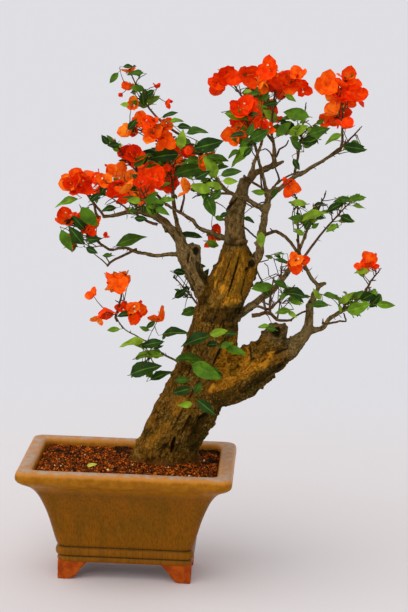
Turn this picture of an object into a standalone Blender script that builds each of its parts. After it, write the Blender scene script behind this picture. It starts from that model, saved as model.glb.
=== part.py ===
"""Bougainvillea bonsai in a glazed rectangular pot.

The trunk, each bough and each mass of foliage is an object of its own. A mass grows by a
seeded rule: one stem leaves its bough, twigs branch from the stem round the golden angle,
and leaves and three-bract blooms grow on the twigs inside the mass's own space.
"""

import math
import random

import bmesh
import bpy
import numpy as np
from mathutils import Vector

# Lengths are in millimetres, from the middle of the pot's footprint, with X to the right,
# Y to the back and Z up. They become metres when a mesh is made.
MM = 0.001
POT_PLACE = Vector((-144.9, -8.1, 0.0))  # the pot's middle in the part's own frame
GAP = 0.35  # air between neighbouring solids

# Pot: a rolled lip, a body that curves in, a banded foot ring and four bracket feet.
LIP_LENGTH = 400.0
LIP_DEPTH = 280.0
POT_HEIGHT = 227.0
FOOT_HEIGHT = 35.0
CORNER_STEPS = 3
CORNER_RADIUS = 16.0
# (inset from the lip's edge, drop from the top), from the inner floor up, over and down.
POT_INSIDE = [(84.0, 177.0), (80.0, 149.0), (65.0, 94.0), (50.0, 58.0), (35.0, 34.0), (29.0, 10.0)]
POT_OUTSIDE = [
    (20.0, 1.0), (5.0, 0.0), (0.0, 5.0), (-1.0, 15.0), (1.5, 22.0), (19.0, 33.5), (28.0, 41.5),
    (37.0, 54.5), (45.0, 72.0), (53.0, 94.0), (61.0, 122.0), (68.0, 149.0), (71.5, 160.0),
    (69.0, 165.0), (69.0, 178.0), (72.0, 184.0), (72.5, 192.0),
]
FOOT_REACH = 62.0
FOOT_TOE = 22.0
FOOT_WALL = 15.0
FOOT_INSET = 74.0

# Soil, level under the trunk and a little lower at the walls.
SOIL_TOP = 219.0
SOIL_EDGE = 214.0

# Trunk stations: middle x, y, z, half width, half depth.
TRUNK = [
    (66.0, 24.0, SOIL_TOP + GAP, 66.0, 48.0),
    (70.0, 22.0, 244.0, 58.0, 43.0),
    (91.0, 18.0, 290.0, 56.0, 42.0),
    (117.0, 12.0, 340.0, 56.0, 42.0),
    (135.0, 6.0, 390.0, 53.0, 41.0),
    (151.0, 2.0, 445.0, 49.0, 38.0),
    (158.0, 0.0, 500.0, 43.0, 34.0),
    (173.0, -2.0, 550.0, 40.0, 31.0),
    (191.0, -4.0, 597.0, 38.0, 28.0),
    (190.0, -4.0, 637.0, 25.0, 22.0),
    (188.0, -4.0, 660.0, 19.0, 18.0),
    (187.0, -3.0, 702.0, 17.0, 16.0),
    (197.0, -2.0, 737.0, 12.5, 12.5),
    (202.0, 0.0, 766.0, 9.0, 9.0),
]
TRUNK_SIDES = 14
TRUNK_SETTLE = 110.0  # height over which the rings turn from level to square with the trunk

# Limbs: what each one grows from, and its knots (x, y, z, radius). The first knot lies
# inside the parent, and the limb is cut clear of the parent's surface.
LIMBS = {
    "bough_left": ("trunk", [
        (160, -2, 522, 20), (130, -6, 562, 18), (104, -10, 604, 15), (90, -9, 642, 11.5),
        (60, -5, 677, 9), (20, 0, 696, 7), (-20, -4, 694, 5.5), (-58, -6, 686, 4)]),
    "bough_left_low": ("bough_left", [
        (97, -10, 624, 6), (60, -12, 620, 5), (18, -14, 622, 4.5), (-14, -12, 630, 4),
        (-40, -11, 625, 3.2)]),
    "bough_left_high": ("trunk", [
        (184, -8, 652, 6), (150, -17, 664, 5.5), (124, -12, 673, 5), (97, 0, 693, 4.5),
        (68, 8, 705, 4), (44, 14, 724, 3.2)]),
    "bough_right": ("trunk", [
        (208, -6, 580, 12), (230, -18, 625, 9.5), (240, -28, 690, 8), (252, -31, 744, 6.8),
        (258, -31, 758, 5.5)]),
    "bough_far_right": ("bough_right", [
        (250, -31, 740, 6), (275, -32, 762, 5.6), (305, -30, 783, 5.2), (342, -26, 806, 4.6),
        (377, -21, 828, 3.6)]),
    "bough_shoot": ("bough_right", [
        (242, -29, 714, 6), (210, -40, 732, 5.5), (168, -46, 752, 5), (143, -44, 782, 4.6),
        (97, -40, 838, 3.4)]),
    "bough_top": ("bough_right", [
        (250, -31, 738, 5.5), (238, -42, 768, 4.8), (231, -49, 798, 4.2), (222, -52, 826, 3.2)]),
    "bough_apex": ("trunk", [
        (200, -1, 756, 7.5), (226, 0, 777, 7), (252, 0, 793, 6), (255, 0, 822, 4.6),
        (248, 1, 852, 3.4)]),
    "bough_right_low": ("trunk", [
        (152, 4, 370, 39), (192, 2, 382, 43), (231, 0, 412, 42), (262, 0, 434, 34),
        (293, -1, 447, 20), (315, 0, 466, 13.5), (331, 0, 494, 9), (331, 0, 526, 7.2),
        (341, 0, 560, 6)]),
    "stub_right": ("bough_right_low", [
        (251, 0, 428, 19), (262, 1, 456, 19.5), (271, 1, 480, 19), (275, 1, 493, 17)]),
    "bough_right_mid": ("bough_right_low", [
        (338, 0, 551, 5.2), (346, -1, 569, 5.2), (331, -3, 588, 5), (318, -6, 610, 4.6),
        (308, -8, 632, 3.6)]),
    "bough_right_tip": ("bough_right_low", [
        (322, 0, 478, 7), (352, 0, 489, 6.2), (372, -3, 510, 5.4), (402, -5, 531, 4.6),
        (428, -5, 556, 3.6)]),
    "bough_arch": ("trunk", [
        (180, -12, 486, 5.5), (212, -18, 520, 4.8), (230, -17, 531, 4.2), (252, -12, 524, 3.4)]),
    "bough_low": ("trunk", [
        (104, -22, 412, 5.5), (66, -46, 438, 4.6), (34, -55, 463, 4), (-4, -57, 483, 3.4),
        (-26, -54, 503, 2.8)]),
    "bough_back_left": ("trunk", [
        (152, 12, 480, 11), (130, 62, 535, 9), (96, 108, 600, 7), (70, 136, 664, 5.2),
        (62, 142, 704, 4)]),
    "bough_back_right": ("trunk", [
        (176, 14, 492, 10), (226, 58, 520, 8), (270, 96, 552, 6.4), (304, 112, 604, 5),
        (322, 115, 656, 3.8)]),
    "bough_back_top": ("trunk", [
        (187, 4, 672, 7.5), (196, 44, 724, 6.4), (214, 84, 776, 5.2), (230, 104, 822, 3.8)]),
}
LIMB_SPAN_STEPS = 2
THICK_LIMB = 12.0
THICK_SIDES = 8
THIN_SIDES = 5
TIP_DOME = 0.6

# Masses: limb, place along it (0 to 1), middle of the space, its half sizes, twigs, leaves
# a twig, blooms, seed, and knots that the stem passes on its way.
MASSES = {
    "mass_shoot_tip": ("bough_shoot", 1.0, (5, -18, 922), (58, 48, 46), 6, 3, 2, 11, [(52, -34, 866), (20, -24, 896)]),
    "mass_shoot_low": ("bough_shoot", 0.86, (26, -60, 850), (60, 50, 36), 6, 2, 4, 12, []),
    "mass_shoot_base": ("bough_shoot", 0.62, (122, -76, 820), (48, 50, 40), 5, 4, 0, 13, []),
    "mass_centre_front": ("bough_shoot", 0.34, (134, -98, 748), (44, 44, 46), 5, 4, 1, 14, []),
    "mass_left_top": ("bough_left_high", 1.0, (-22, -8, 802), (56, 54, 46), 6, 2, 4, 15, []),
    "mass_left_inner": ("bough_left_high", 0.76, (62, 34, 778), (54, 50, 50), 6, 3, 1, 16, []),
    "mass_left": ("bough_left", 0.8, (6, -46, 748), (70, 52, 42), 7, 1, 6, 17, []),
    "mass_left_far": ("bough_left", 1.0, (-98, -8, 738), (52, 54, 38), 6, 1, 5, 18, []),
    "mass_left_low": ("bough_left_low", 1.0, (-88, -14, 655), (60, 54, 55), 7, 3, 2, 19, []),
    "mass_front_left": ("bough_left", 0.6, (28, -134, 744), (60, 54, 46), 6, 3, 2, 20, []),
    "mass_top_left": ("bough_apex", 0.86, (176, 12, 938), (52, 50, 38), 6, 1, 4, 21, []),
    "mass_top": ("bough_apex", 1.0, (252, 0, 930), (58, 60, 48), 8, 1, 7, 22, []),
    "mass_top_front": ("bough_top", 1.0, (206, -74, 872), (50, 50, 48), 6, 3, 4, 23, []),
    "mass_top_right": ("bough_far_right", 0.36, (306, -26, 874), (46, 50, 46), 6, 4, 0, 24, []),
    "mass_right_top": ("bough_far_right", 1.0, (376, -18, 922), (46, 52, 48), 7, 1, 6, 25, []),
    "mass_right_crest": ("bough_far_right", 0.82, (392, -40, 850), (44, 48, 36), 5, 4, 0, 26, []),
    "mass_right_mid": ("bough_right_mid", 1.0, (302, -4, 704), (46, 52, 50), 6, 4, 1, 27, []),
    "mass_right_out": ("bough_right_mid", 0.86, (382, -4, 712), (48, 50, 44), 6, 4, 0, 28, [(346, -4, 668)]),
    "mass_front_right": ("bough_right_mid", 0.62, (306, -74, 622), (44, 50, 44), 5, 3, 1, 29, []),
    "mass_right_low": ("bough_arch", 1.0, (280, -30, 552), (52, 50, 46), 7, 4, 0, 30, []),
    "mass_right_tip": ("bough_right_tip", 1.0, (442, -8, 583), (48, 50, 56), 6, 3, 1, 31, []),
    "mass_right_reach": ("bough_right_tip", 0.62, (398, -34, 548), (44, 44, 36), 5, 3, 0, 32, []),
    "mass_low_blossom": ("bough_low", 1.0, (-18, -52, 540), (76, 52, 62), 7, 1, 6, 33, []),
    "mass_low_leaves": ("bough_low", 0.42, (40, -78, 438), (54, 46, 58), 6, 4, 1, 34, []),
    "mass_trunk_front": ("trunk", 0.33, (148, -84, 424), (56, 44, 66), 5, 3, 0, 35, []),
    "mass_trunk_back": ("trunk", 0.5, (92, 58, 546), (40, 42, 54), 4, 3, 0, 36, []),
    "mass_inner": ("bough_left_high", 0.24, (138, 26, 654), (36, 38, 38), 3, 2, 1, 37, []),
    "mass_back_left": ("bough_back_left", 1.0, (52, 146, 764), (74, 66, 60), 7, 3, 3, 38, []),
    "mass_back_low": ("bough_back_left", 0.74, (-34, 130, 704), (64, 60, 48), 7, 3, 2, 39, []),
    "mass_back_top": ("bough_back_top", 1.0, (232, 112, 884), (68, 62, 58), 7, 3, 3, 40, []),
    "mass_back_right": ("bough_back_right", 0.56, (276, 138, 566), (62, 60, 52), 7, 3, 1, 41, []),
    "mass_back_high": ("bough_back_right", 1.0, (344, 106, 703), (58, 60, 46), 7, 3, 2, 42, []),
}

# The growing rule's sizes.
GOLDEN_ANGLE = math.radians(137.5)
STEM_RADIUS = 2.8
TWIG_RADIUS = 1.4
TWIG_TIP = 0.8
TWIG_LONGEST = 78.0
TWIG_SHORTEST = 16.0
LEAF_LENGTH = 46.0
BRACT_LENGTH = 32.0
BRACTS = 3
LEAF_WIDTH = 0.58  # this and the next six are over the blade's length
LEAF_WIDEST = 0.42
BLADE_THICKNESS = 0.035
BRACT_THICKNESS = 0.05
NOTCH_REACH = 0.52
NOTCH_CUP = 0.35
BLOOM_ROOT = 0.03  # how far a bloom's underside reaches down into its twig
TRUSS = (1.0, 0.5)  # places of the blooms along a blooming twig
FITS = (1.0, 0.8, 0.64)  # sizes that a blade or a twig is tried at before it is left out
SPACE_MARGIN = 0.03
BLADE_LIMIT = 1.12  # how far blades may stand out of the ellipsoid that twigs keep to
LIMB_MARGIN = 2.2
TWIG_MARGIN = 1.5
OWN_TWIG_MARGIN = 0.5
LEAF_MARGIN = 5.0
BLOOM_MARGIN = 8.0
STRAIGHT_TWIG = 34.0  # a shorter twig has no bend

COLOURS = {  # base colour and roughness
    "pot": ((0.42, 0.20, 0.045), 0.28),
    "soil": ((0.12, 0.045, 0.025), 0.95),
    "bark": ((0.14, 0.085, 0.05), 0.9),
    "foliage": ((0.055, 0.16, 0.035), 0.55),
    "blossom": ((0.85, 0.10, 0.015), 0.6),
}


def material(name):
    """The Principled material of this name, made when it is first asked for."""
    if name in bpy.data.materials:
        return bpy.data.materials[name]
    colour, roughness = COLOURS[name]
    made = bpy.data.materials.new(name)
    made.use_nodes = True
    shader = made.node_tree.nodes["Principled BSDF"]
    shader.inputs["Base Color"].default_value = (*colour, 1.0)
    shader.inputs["Roughness"].default_value = roughness
    shader.inputs["Metallic"].default_value = 0.0
    return made


def new_object(name, points, faces, material_name, collection=None):
    """A mesh object from points in millimetres in the pot's frame."""
    mesh = bpy.data.meshes.new(name)
    mesh.from_pydata([(Vector(point) + POT_PLACE) * MM for point in points], [], faces)
    mesh.materials.append(material(material_name))
    made = bpy.data.objects.new(name, mesh)
    (collection or bpy.context.scene.collection).objects.link(made)
    return made


def loft(rings):
    """Points and faces of a closed solid through rings of equal length."""
    count = len(rings[0])
    points = [point for ring in rings for point in ring]
    faces = [list(range(count))[::-1]]
    for level in range(len(rings) - 1):
        low, high = level * count, (level + 1) * count
        for i in range(count):
            j = (i + 1) % count
            faces.append((low + i, low + j, high + j, high + i))
    faces.append([len(points) - count + i for i in range(count)])
    return points, faces


def run_modifier(target, kind, **settings):
    """Adds a modifier, keeps its result as the mesh, and drops the modifier."""
    modifier = target.modifiers.new(kind.title(), kind)
    for key, value in settings.items():
        setattr(modifier, key, value)
    graph = bpy.context.evaluated_depsgraph_get()
    result = bpy.data.meshes.new_from_object(target.evaluated_get(graph))
    target.modifiers.clear()
    old = target.data
    target.data = result
    bpy.data.meshes.remove(old)


def discard(objects):
    for spent in list(objects):
        mesh = spent.data
        bpy.data.objects.remove(spent)
        bpy.data.meshes.remove(mesh)


def keep_main_body(target):
    """Fills sealed hollows and drops loose scraps, so that one closed body is left."""
    body = bmesh.new()
    body.from_mesh(target.data)
    unseen = set(body.faces)
    shells = []
    while unseen:
        front = [unseen.pop()]
        shell = list(front)
        while front:
            for edge in front.pop().edges:
                for face in edge.link_faces:
                    if face in unseen:
                        unseen.remove(face)
                        front.append(face)
                        shell.append(face)
        shells.append(shell)
    largest = max(shells, key=lambda shell: sum(face.calc_area() for face in shell))
    spare = [face for shell in shells if shell is not largest for face in shell]
    bmesh.ops.delete(body, geom=spare, context="FACES")
    body.to_mesh(target.data)
    body.free()


def fuse(target, collection):
    """One Boolean union of the object with everything in the collection."""
    run_modifier(target, "BOOLEAN", operation="UNION", operand_type="COLLECTION",
                 collection=collection, solver="EXACT", material_mode="TRANSFER")
    discard(collection.objects)
    bpy.data.collections.remove(collection)
    keep_main_body(target)


def seat(target, carrier):
    """Cuts the object clear of the one that carries it, with the usual gap."""
    cutter = carrier.copy()
    cutter.data = carrier.data.copy()
    bpy.context.scene.collection.objects.link(cutter)
    cutter.modifiers.clear()
    swollen = bmesh.new()
    swollen.from_mesh(cutter.data)
    swollen.normal_update()
    for vert in swollen.verts:
        vert.co += vert.normal * (GAP * MM)
    swollen.to_mesh(cutter.data)
    swollen.free()
    run_modifier(target, "BOOLEAN", operation="DIFFERENCE", object=cutter, solver="EXACT")
    discard([cutter])
    keep_main_body(target)


def shade(target, angle):
    target.data.shade_smooth()
    target.data.set_sharp_from_angle(angle=math.radians(angle))


# ---- pot and soil ----


def pot_ring(inset, drop):
    """A rounded rectangle at this inset from the lip's edge and this drop from its top."""
    half_x = LIP_LENGTH / 2 - inset
    half_y = LIP_DEPTH / 2 - inset
    ring = []
    for corner in range(4):
        middle_x = (half_x - CORNER_RADIUS) * (1 if corner in (0, 3) else -1)
        middle_y = (half_y - CORNER_RADIUS) * (1 if corner in (0, 1) else -1)
        for step in range(CORNER_STEPS + 1):
            angle = math.radians(90) * (corner + step / CORNER_STEPS)
            ring.append((middle_x + CORNER_RADIUS * math.cos(angle),
                         middle_y + CORNER_RADIUS * math.sin(angle),
                         POT_HEIGHT - drop))
    return ring


def foot_arm(sign_x, sign_y, lengthwise):
    """One wing of a bracket foot: a block whose inner edge sweeps up to the base."""
    top = FOOT_HEIGHT + 5
    outline = [(0, 0), (FOOT_TOE, 0), (FOOT_TOE + 5, 9), (FOOT_REACH * 0.62, 22),
               (FOOT_REACH, FOOT_HEIGHT - 1), (FOOT_REACH, top), (0, top)]
    corner_x = LIP_LENGTH / 2 - FOOT_INSET
    corner_y = LIP_DEPTH / 2 - FOOT_INSET
    rings = []
    for across in (0, FOOT_WALL):
        ring = []
        for along, height in outline:
            run_x, run_y = (along, across) if lengthwise else (across, along)
            ring.append((sign_x * (corner_x - run_x), sign_y * (corner_y - run_y), height))
        rings.append(ring)
    return loft(rings)


def face_out(target):
    body = bmesh.new()
    body.from_mesh(target.data)
    bmesh.ops.recalc_face_normals(body, faces=body.faces)
    body.to_mesh(target.data)
    body.free()


def build_pot():
    rings = [pot_ring(*row) for row in POT_OUTSIDE[::-1]] + [pot_ring(*row) for row in POT_INSIDE[::-1]]
    pot = new_object("pot", *loft(rings), "pot")
    face_out(pot)
    wings = bpy.data.collections.new("feet")
    bpy.context.scene.collection.children.link(wings)
    for sign_x in (-1, 1):
        for sign_y in (-1, 1):
            for lengthwise in (True, False):
                face_out(new_object("foot", *foot_arm(sign_x, sign_y, lengthwise), "pot", wings))
    fuse(pot, wings)
    shade(pot, 35)


def build_soil():
    """Fills the pot: its sides follow the inner wall, and its top rises to the trunk."""
    rings = [pot_ring(inset + GAP, drop - GAP) for inset, drop in POT_INSIDE[:-1]]
    edge_drop = POT_HEIGHT - SOIL_EDGE
    inset = POT_INSIDE[-1][0] + (edge_drop - POT_INSIDE[-1][1]) * 0.25 + GAP
    rings.append(pot_ring(inset, edge_drop))
    x, y, _, half_x, half_y = TRUNK[0]
    edge = rings[-1]
    for share, height in ((0.45, SOIL_TOP - 1.5), (1.0, SOIL_TOP)):
        ring = []
        for px, py, _ in edge:
            angle = math.atan2((py - y) / half_y, (px - x) / half_x)
            foot = Vector((x + 1.1 * half_x * math.cos(angle), y + 1.1 * half_y * math.sin(angle)))
            spot = Vector((px, py)).lerp(foot, share)
            ring.append((spot.x, spot.y, height))
        rings.append(ring)
    soil = new_object("soil", *loft(rings), "soil")
    face_out(soil)
    shade(soil, 30)


# ---- trunk and limbs ----


def smooth_route(knots, steps):
    """A smooth curve through knots (x, y, z, radius), as (point, radius) pairs."""
    rows = [Vector(knot) for knot in knots]
    rows = [rows[0] * 2 - rows[1]] + rows + [rows[-1] * 2 - rows[-2]]
    route = []
    for i in range(1, len(rows) - 2):
        before, start, end, after = rows[i - 1:i + 3]
        for step in range(steps):
            t = step / steps
            row = 0.5 * (2 * start + (end - before) * t
                         + (2 * before - 5 * start + 4 * end - after) * t ** 2
                         + (3 * start - before - 3 * end + after) * t ** 3)
            route.append((row.xyz, row.w))
    route.append((rows[-2].xyz, rows[-2].w))
    return route


def tangents(points):
    return [(points[min(i + 1, len(points) - 1)] - points[max(i - 1, 0)]).normalized()
            for i in range(len(points))]


def sweep(route, sides, dome):
    """A tapered tube along a route of (point, radius), with a low dome at its tip."""
    ways = tangents([point for point, _ in route])
    across = ways[0].orthogonal().normalized()
    rings = []
    for i, (point, radius) in enumerate(route):
        if i:
            across.rotate(ways[i - 1].rotation_difference(ways[i]))
        up = ways[i].cross(across)
        rings.append([point + radius * (across * math.cos(turn) + up * math.sin(turn))
                      for turn in (math.tau * k / sides for k in range(sides))])
    points, faces = loft(rings)
    if dome:
        points.append(route[-1][0] + ways[-1] * route[-1][1] * dome)
        last = len(points) - 1
        faces.pop()
        base = len(points) - 1 - sides
        faces += [(base + k, base + (k + 1) % sides, last) for k in range(sides)]
    return points, faces


def trunk_route():
    """The trunk's middle line as (point, half width, half depth)."""
    wide = smooth_route([(x, y, z, width) for x, y, z, width, _ in TRUNK], 1)
    deep = smooth_route([(x, y, z, depth) for x, y, z, _, depth in TRUNK], 1)
    return [(point, width, depth) for (point, width), (_, depth) in zip(wide, deep)]


def trunk_swell(turn, height):
    """How far the trunk stands out of a plain ellipse: old ridges, and roots at the foot."""
    ridges = 0.035 * math.cos(3 * turn + 1.1 + height / 160) + 0.03 * math.cos(5 * turn + 2.3 - height / 120)
    roots = 0.12 * math.exp(-height / 22) * math.cos(5 * turn + 0.6)
    return 1 + ridges + roots


def build_trunk():
    route = trunk_route()
    ways = tangents([point for point, _, _ in route])
    foot = route[0][0].z
    rings = []
    for (point, width, depth), way in zip(route, ways):
        height = point.z - foot
        normal = Vector((0, 0, 1)).lerp(way, min(1.0, height / TRUNK_SETTLE)).normalized()
        side = Vector((0, 1, 0)).cross(normal).normalized()
        back = normal.cross(side)
        ring = []
        for k in range(TRUNK_SIDES):
            turn = math.tau * k / TRUNK_SIDES
            swell = trunk_swell(turn, height)
            ring.append(point + swell * (side * width * math.cos(turn) + back * depth * math.sin(turn)))
        rings.append(ring)
    trunk = new_object("trunk", *loft(rings), "bark")
    face_out(trunk)
    shade(trunk, 60)
    return trunk


def limb_route(name):
    if name == "trunk":
        return [(point, max(width, depth)) for point, width, depth in trunk_route()]
    return smooth_route(LIMBS[name][1], LIMB_SPAN_STEPS)


def build_limbs(trunk):
    built = {"trunk": trunk}
    for name, (parent, knots) in LIMBS.items():
        sides = THICK_SIDES if knots[0][3] > THICK_LIMB else THIN_SIDES
        dome = 0 if name.startswith("stub") else TIP_DOME
        limb = new_object(name, *sweep(limb_route(name), sides, dome), "bark")
        face_out(limb)
        seat(limb, built[parent])
        shade(limb, 60)
        built[name] = limb
    return built


# ---- masses ----


def point_on(route, share):
    """The point this share of the way along a route, and the way it runs there."""
    spots = [point for point, _ in route]
    lengths = [(b - a).length for a, b in zip(spots, spots[1:])]
    left = share * sum(lengths)
    for i, length in enumerate(lengths):
        if left <= length or i == len(lengths) - 1:
            return spots[i].lerp(spots[i + 1], min(1.0, left / length)), (spots[i + 1] - spots[i]).normalized()
        left -= length


def stem_route(name):
    """The stem: from its limb's middle line, through the space, and most of the way across."""
    limb, share, middle, half, _, _, _, seed, via = MASSES[name]
    draw = random.Random(seed)
    start, way = point_on(limb_route(limb), min(share, 0.97))
    middle = Vector(middle)
    last = Vector(via[-1]) if via else start
    heading = (middle - last).normalized()
    reach = 0.55 / Vector([heading[k] / half[k] for k in range(3)]).length
    end = middle + heading * reach
    end.z += draw.uniform(-0.1, 0.2) * half[2]
    knots = [start] + [Vector(spot) for spot in via] + [middle, end]
    if share == 1.0:
        knots.insert(1, start + way * 6 + (knots[1] - start).normalized() * 4)
    count = len(knots) - 1
    rows = [(*knot, STEM_RADIUS + (TWIG_TIP - STEM_RADIUS) * 0.8 * i / count) for i, knot in enumerate(knots)]
    return smooth_route(rows, 2)


def obstacles():
    """Every limb and stem as capsules: end, end, radius and whose it is."""
    rows = []
    for name in ["trunk", *LIMBS]:
        route = limb_route(name)
        rows += [(a, b, max(ra, rb), name) for (a, ra), (b, rb) in zip(route, route[1:])]
    for name in MASSES:
        route = stem_route(name)
        rows += [(a, b, max(ra, rb), name) for (a, ra), (b, rb) in zip(route, route[1:])]
    return (np.array([row[0] for row in rows]), np.array([row[1] for row in rows]),
            np.array([row[2] for row in rows]), np.array([row[3] for row in rows]))


class Space:
    """The room that one mass keeps to: its own ellipsoid, clear of limbs, neighbours and itself."""

    def __init__(self, name, capsules):
        ends, others, radii, owners = capsules
        foreign = owners != name
        self.limbs = (ends[foreign], (others - ends)[foreign], radii[foreign])
        self.middle = np.array(MASSES[name][2], float)
        self.half = np.array(MASSES[name][3], float)
        rest = [row for key, row in MASSES.items() if key != name]
        self.middles = np.array([row[2] for row in rest], float)
        self.halves = np.array([row[3] for row in rest], float)
        self.twigs = []
        self.blades = []

    def holds(self, spots, margin=LIMB_MARGIN, limit=1.0):
        """Whether points lie in the ellipsoid, nearer to it than to any other, and off the limbs."""
        spots = np.array([tuple(spot) for spot in spots])
        own = np.linalg.norm((spots - self.middle) / self.half, axis=1)
        if own.max() > limit:
            return False
        others = np.linalg.norm((spots[:, None] - self.middles) / self.halves, axis=2)
        if (others.min(axis=1) < own + SPACE_MARGIN).any():
            return False
        return clear_of(spots, *self.limbs, margin)

    def free(self, spots, rooted_on, margin):
        """Whether a blade's points stay off the mass's own twigs and its earlier blades."""
        spots = np.array([tuple(spot) for spot in spots])
        for number, twig in enumerate(self.twigs):
            room = OWN_TWIG_MARGIN if number == rooted_on else TWIG_MARGIN
            if not clear_of(spots, *twig, room):
                return False
        if not self.blades:
            return True
        taken = np.concatenate(self.blades)
        return bool((np.linalg.norm(spots[:, None] - taken, axis=2) > margin).all())

    def take_twig(self, twig):
        ends = np.array([tuple(point) for point, _ in twig])
        radii = np.array([radius for _, radius in twig])
        self.twigs.append((ends[:-1], ends[1:] - ends[:-1], radii[:-1]))

    def take_blade(self, spots):
        self.blades.append(np.array([tuple(spot) for spot in spots]))


def clear_of(spots, ends, runs, radii, margin):
    """Whether every point is farther than the margin from every capsule."""
    squares = np.maximum((runs ** 2).sum(axis=1), 1e-9)
    along = ((spots[:, None] - ends) * runs).sum(axis=2) / squares
    nearest = ends + runs * np.clip(along, 0, 1)[:, :, None]
    return bool((np.linalg.norm(spots[:, None] - nearest, axis=2) > radii + margin).all())


def blade_frame(along, facing):
    """Unit vectors along, across and square to a leaf that runs along and looks to facing."""
    along = along.normalized()
    across = facing.cross(along).normalized()
    return along, across, along.cross(across)


def leaf_outline(leaf):
    """Root, right flank, tip and left flank."""
    root, (along, across, normal), length, droop = leaf
    flank = root + along * (LEAF_WIDEST * length) + normal * (0.05 * length)
    reach = across * (LEAF_WIDTH * length / 2)
    return [root, flank + reach, root + along * length - normal * (droop * length), flank - reach]


def leaf_spots(leaf):
    """Points spread over a leaf, close enough together to test its clearance."""
    root, right, tip, left = leaf_outline(leaf)
    middle = (right + left) / 2
    return [right, tip, left, middle, (right + tip) / 2, (left + tip) / 2, (middle + tip) / 2,
            root * 0.35 + right * 0.65, root * 0.35 + left * 0.65]


def leaf_solid(leaf):
    """A leaf with a raised midrib above and one fold below."""
    outline = leaf_outline(leaf)
    normal, length = leaf[1][2], leaf[2]
    crest = (outline[1] + outline[3]) / 2 + normal * (BLADE_THICKNESS * length)
    return outline + [crest], [(0, 1, 4), (1, 2, 4), (2, 3, 4), (3, 0, 4), (0, 3, 1), (1, 3, 2)]


def fan(outline, above, below):
    """A closed blade between an outline and a point on each side of it."""
    points = outline + [above, below]
    count = len(outline)
    faces = []
    for i in range(count):
        j = (i + 1) % count
        faces += [(i, j, count), (j, i, count + 1)]
    return points, faces


def bloom_outline(bloom):
    """Bract tips and the notches between them, each bract tipped in by its own cup."""
    spot, axis, spin, cups, length = bloom
    side = axis.orthogonal().normalized()
    outline = []
    for k in range(2 * len(cups)):
        turn = spin + math.pi * k / len(cups)
        radial = side * math.cos(turn) + axis.cross(side) * math.sin(turn)
        if k % 2:
            outline.append(spot + (radial + axis * NOTCH_CUP) * (NOTCH_REACH * length))
        else:
            outline.append(spot + (radial + axis * cups[k // 2]).normalized() * length)
    return outline


def bloom_spots(bloom):
    spot = bloom[0]
    outline = bloom_outline(bloom)
    following = outline[1:] + outline[:1]
    return (outline + [(a + b) / 2 for a, b in zip(outline, following)]
            + [spot * 0.4 + tip * 0.6 for tip in outline[::2]])


def bloom_solid(bloom):
    """Bracts joined at the heart of the bloom, as one closed solid rooted in its twig."""
    spot, axis, _, _, length = bloom
    return fan(bloom_outline(bloom), spot + axis * (BRACT_THICKNESS * length), spot - axis * (BLOOM_ROOT * length))


def ellipsoid_reach(offset, heading, half):
    """Distance from a point at this offset from the middle to the ellipsoid's surface."""
    u = Vector([heading[k] / half[k] for k in range(3)])
    v = Vector([offset[k] / half[k] for k in range(3)])
    a, b, c = u.dot(u), u.dot(v), v.dot(v) - 1
    return (math.sqrt(max(0.0, b * b - a * c)) - b) / a


def fit_leaf(space, number, spot, frame, length, droop):
    """A leaf rooted in its twig's middle, at the largest size that the space holds, or None."""
    for share in FITS:
        leaf = (spot, frame, length * share, droop)
        spots = leaf_spots(leaf)
        if space.holds(spots, LIMB_MARGIN, BLADE_LIMIT) and space.free(spots, number, LEAF_MARGIN):
            space.take_blade(spots)
            return leaf
    return None


def fit_bloom(space, number, spot, axis, spin, cups, length):
    for share in FITS:
        bloom = (spot, axis, spin, cups, length * share)
        spots = bloom_spots(bloom)
        if space.holds(spots, LIMB_MARGIN, BLADE_LIMIT) and space.free(spots, number, BLOOM_MARGIN):
            space.take_blade(spots)
            return bloom
    return None


def fit_twig(space, start, heading, curve, length):
    """A bent twig at the greatest length that the space holds, or None."""
    for share in FITS:
        reach = length * share
        twig = [(start, TWIG_RADIUS), (start + heading * reach, TWIG_TIP)]
        if reach > STRAIGHT_TWIG:
            twig.insert(1, (start + heading * reach * 0.5 + curve * reach, (TWIG_RADIUS + TWIG_TIP) / 2))
        if space.holds([point_on(twig, t / 6)[0] for t in range(2, 7)]):
            space.take_twig(twig)
            return twig
    return None


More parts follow.
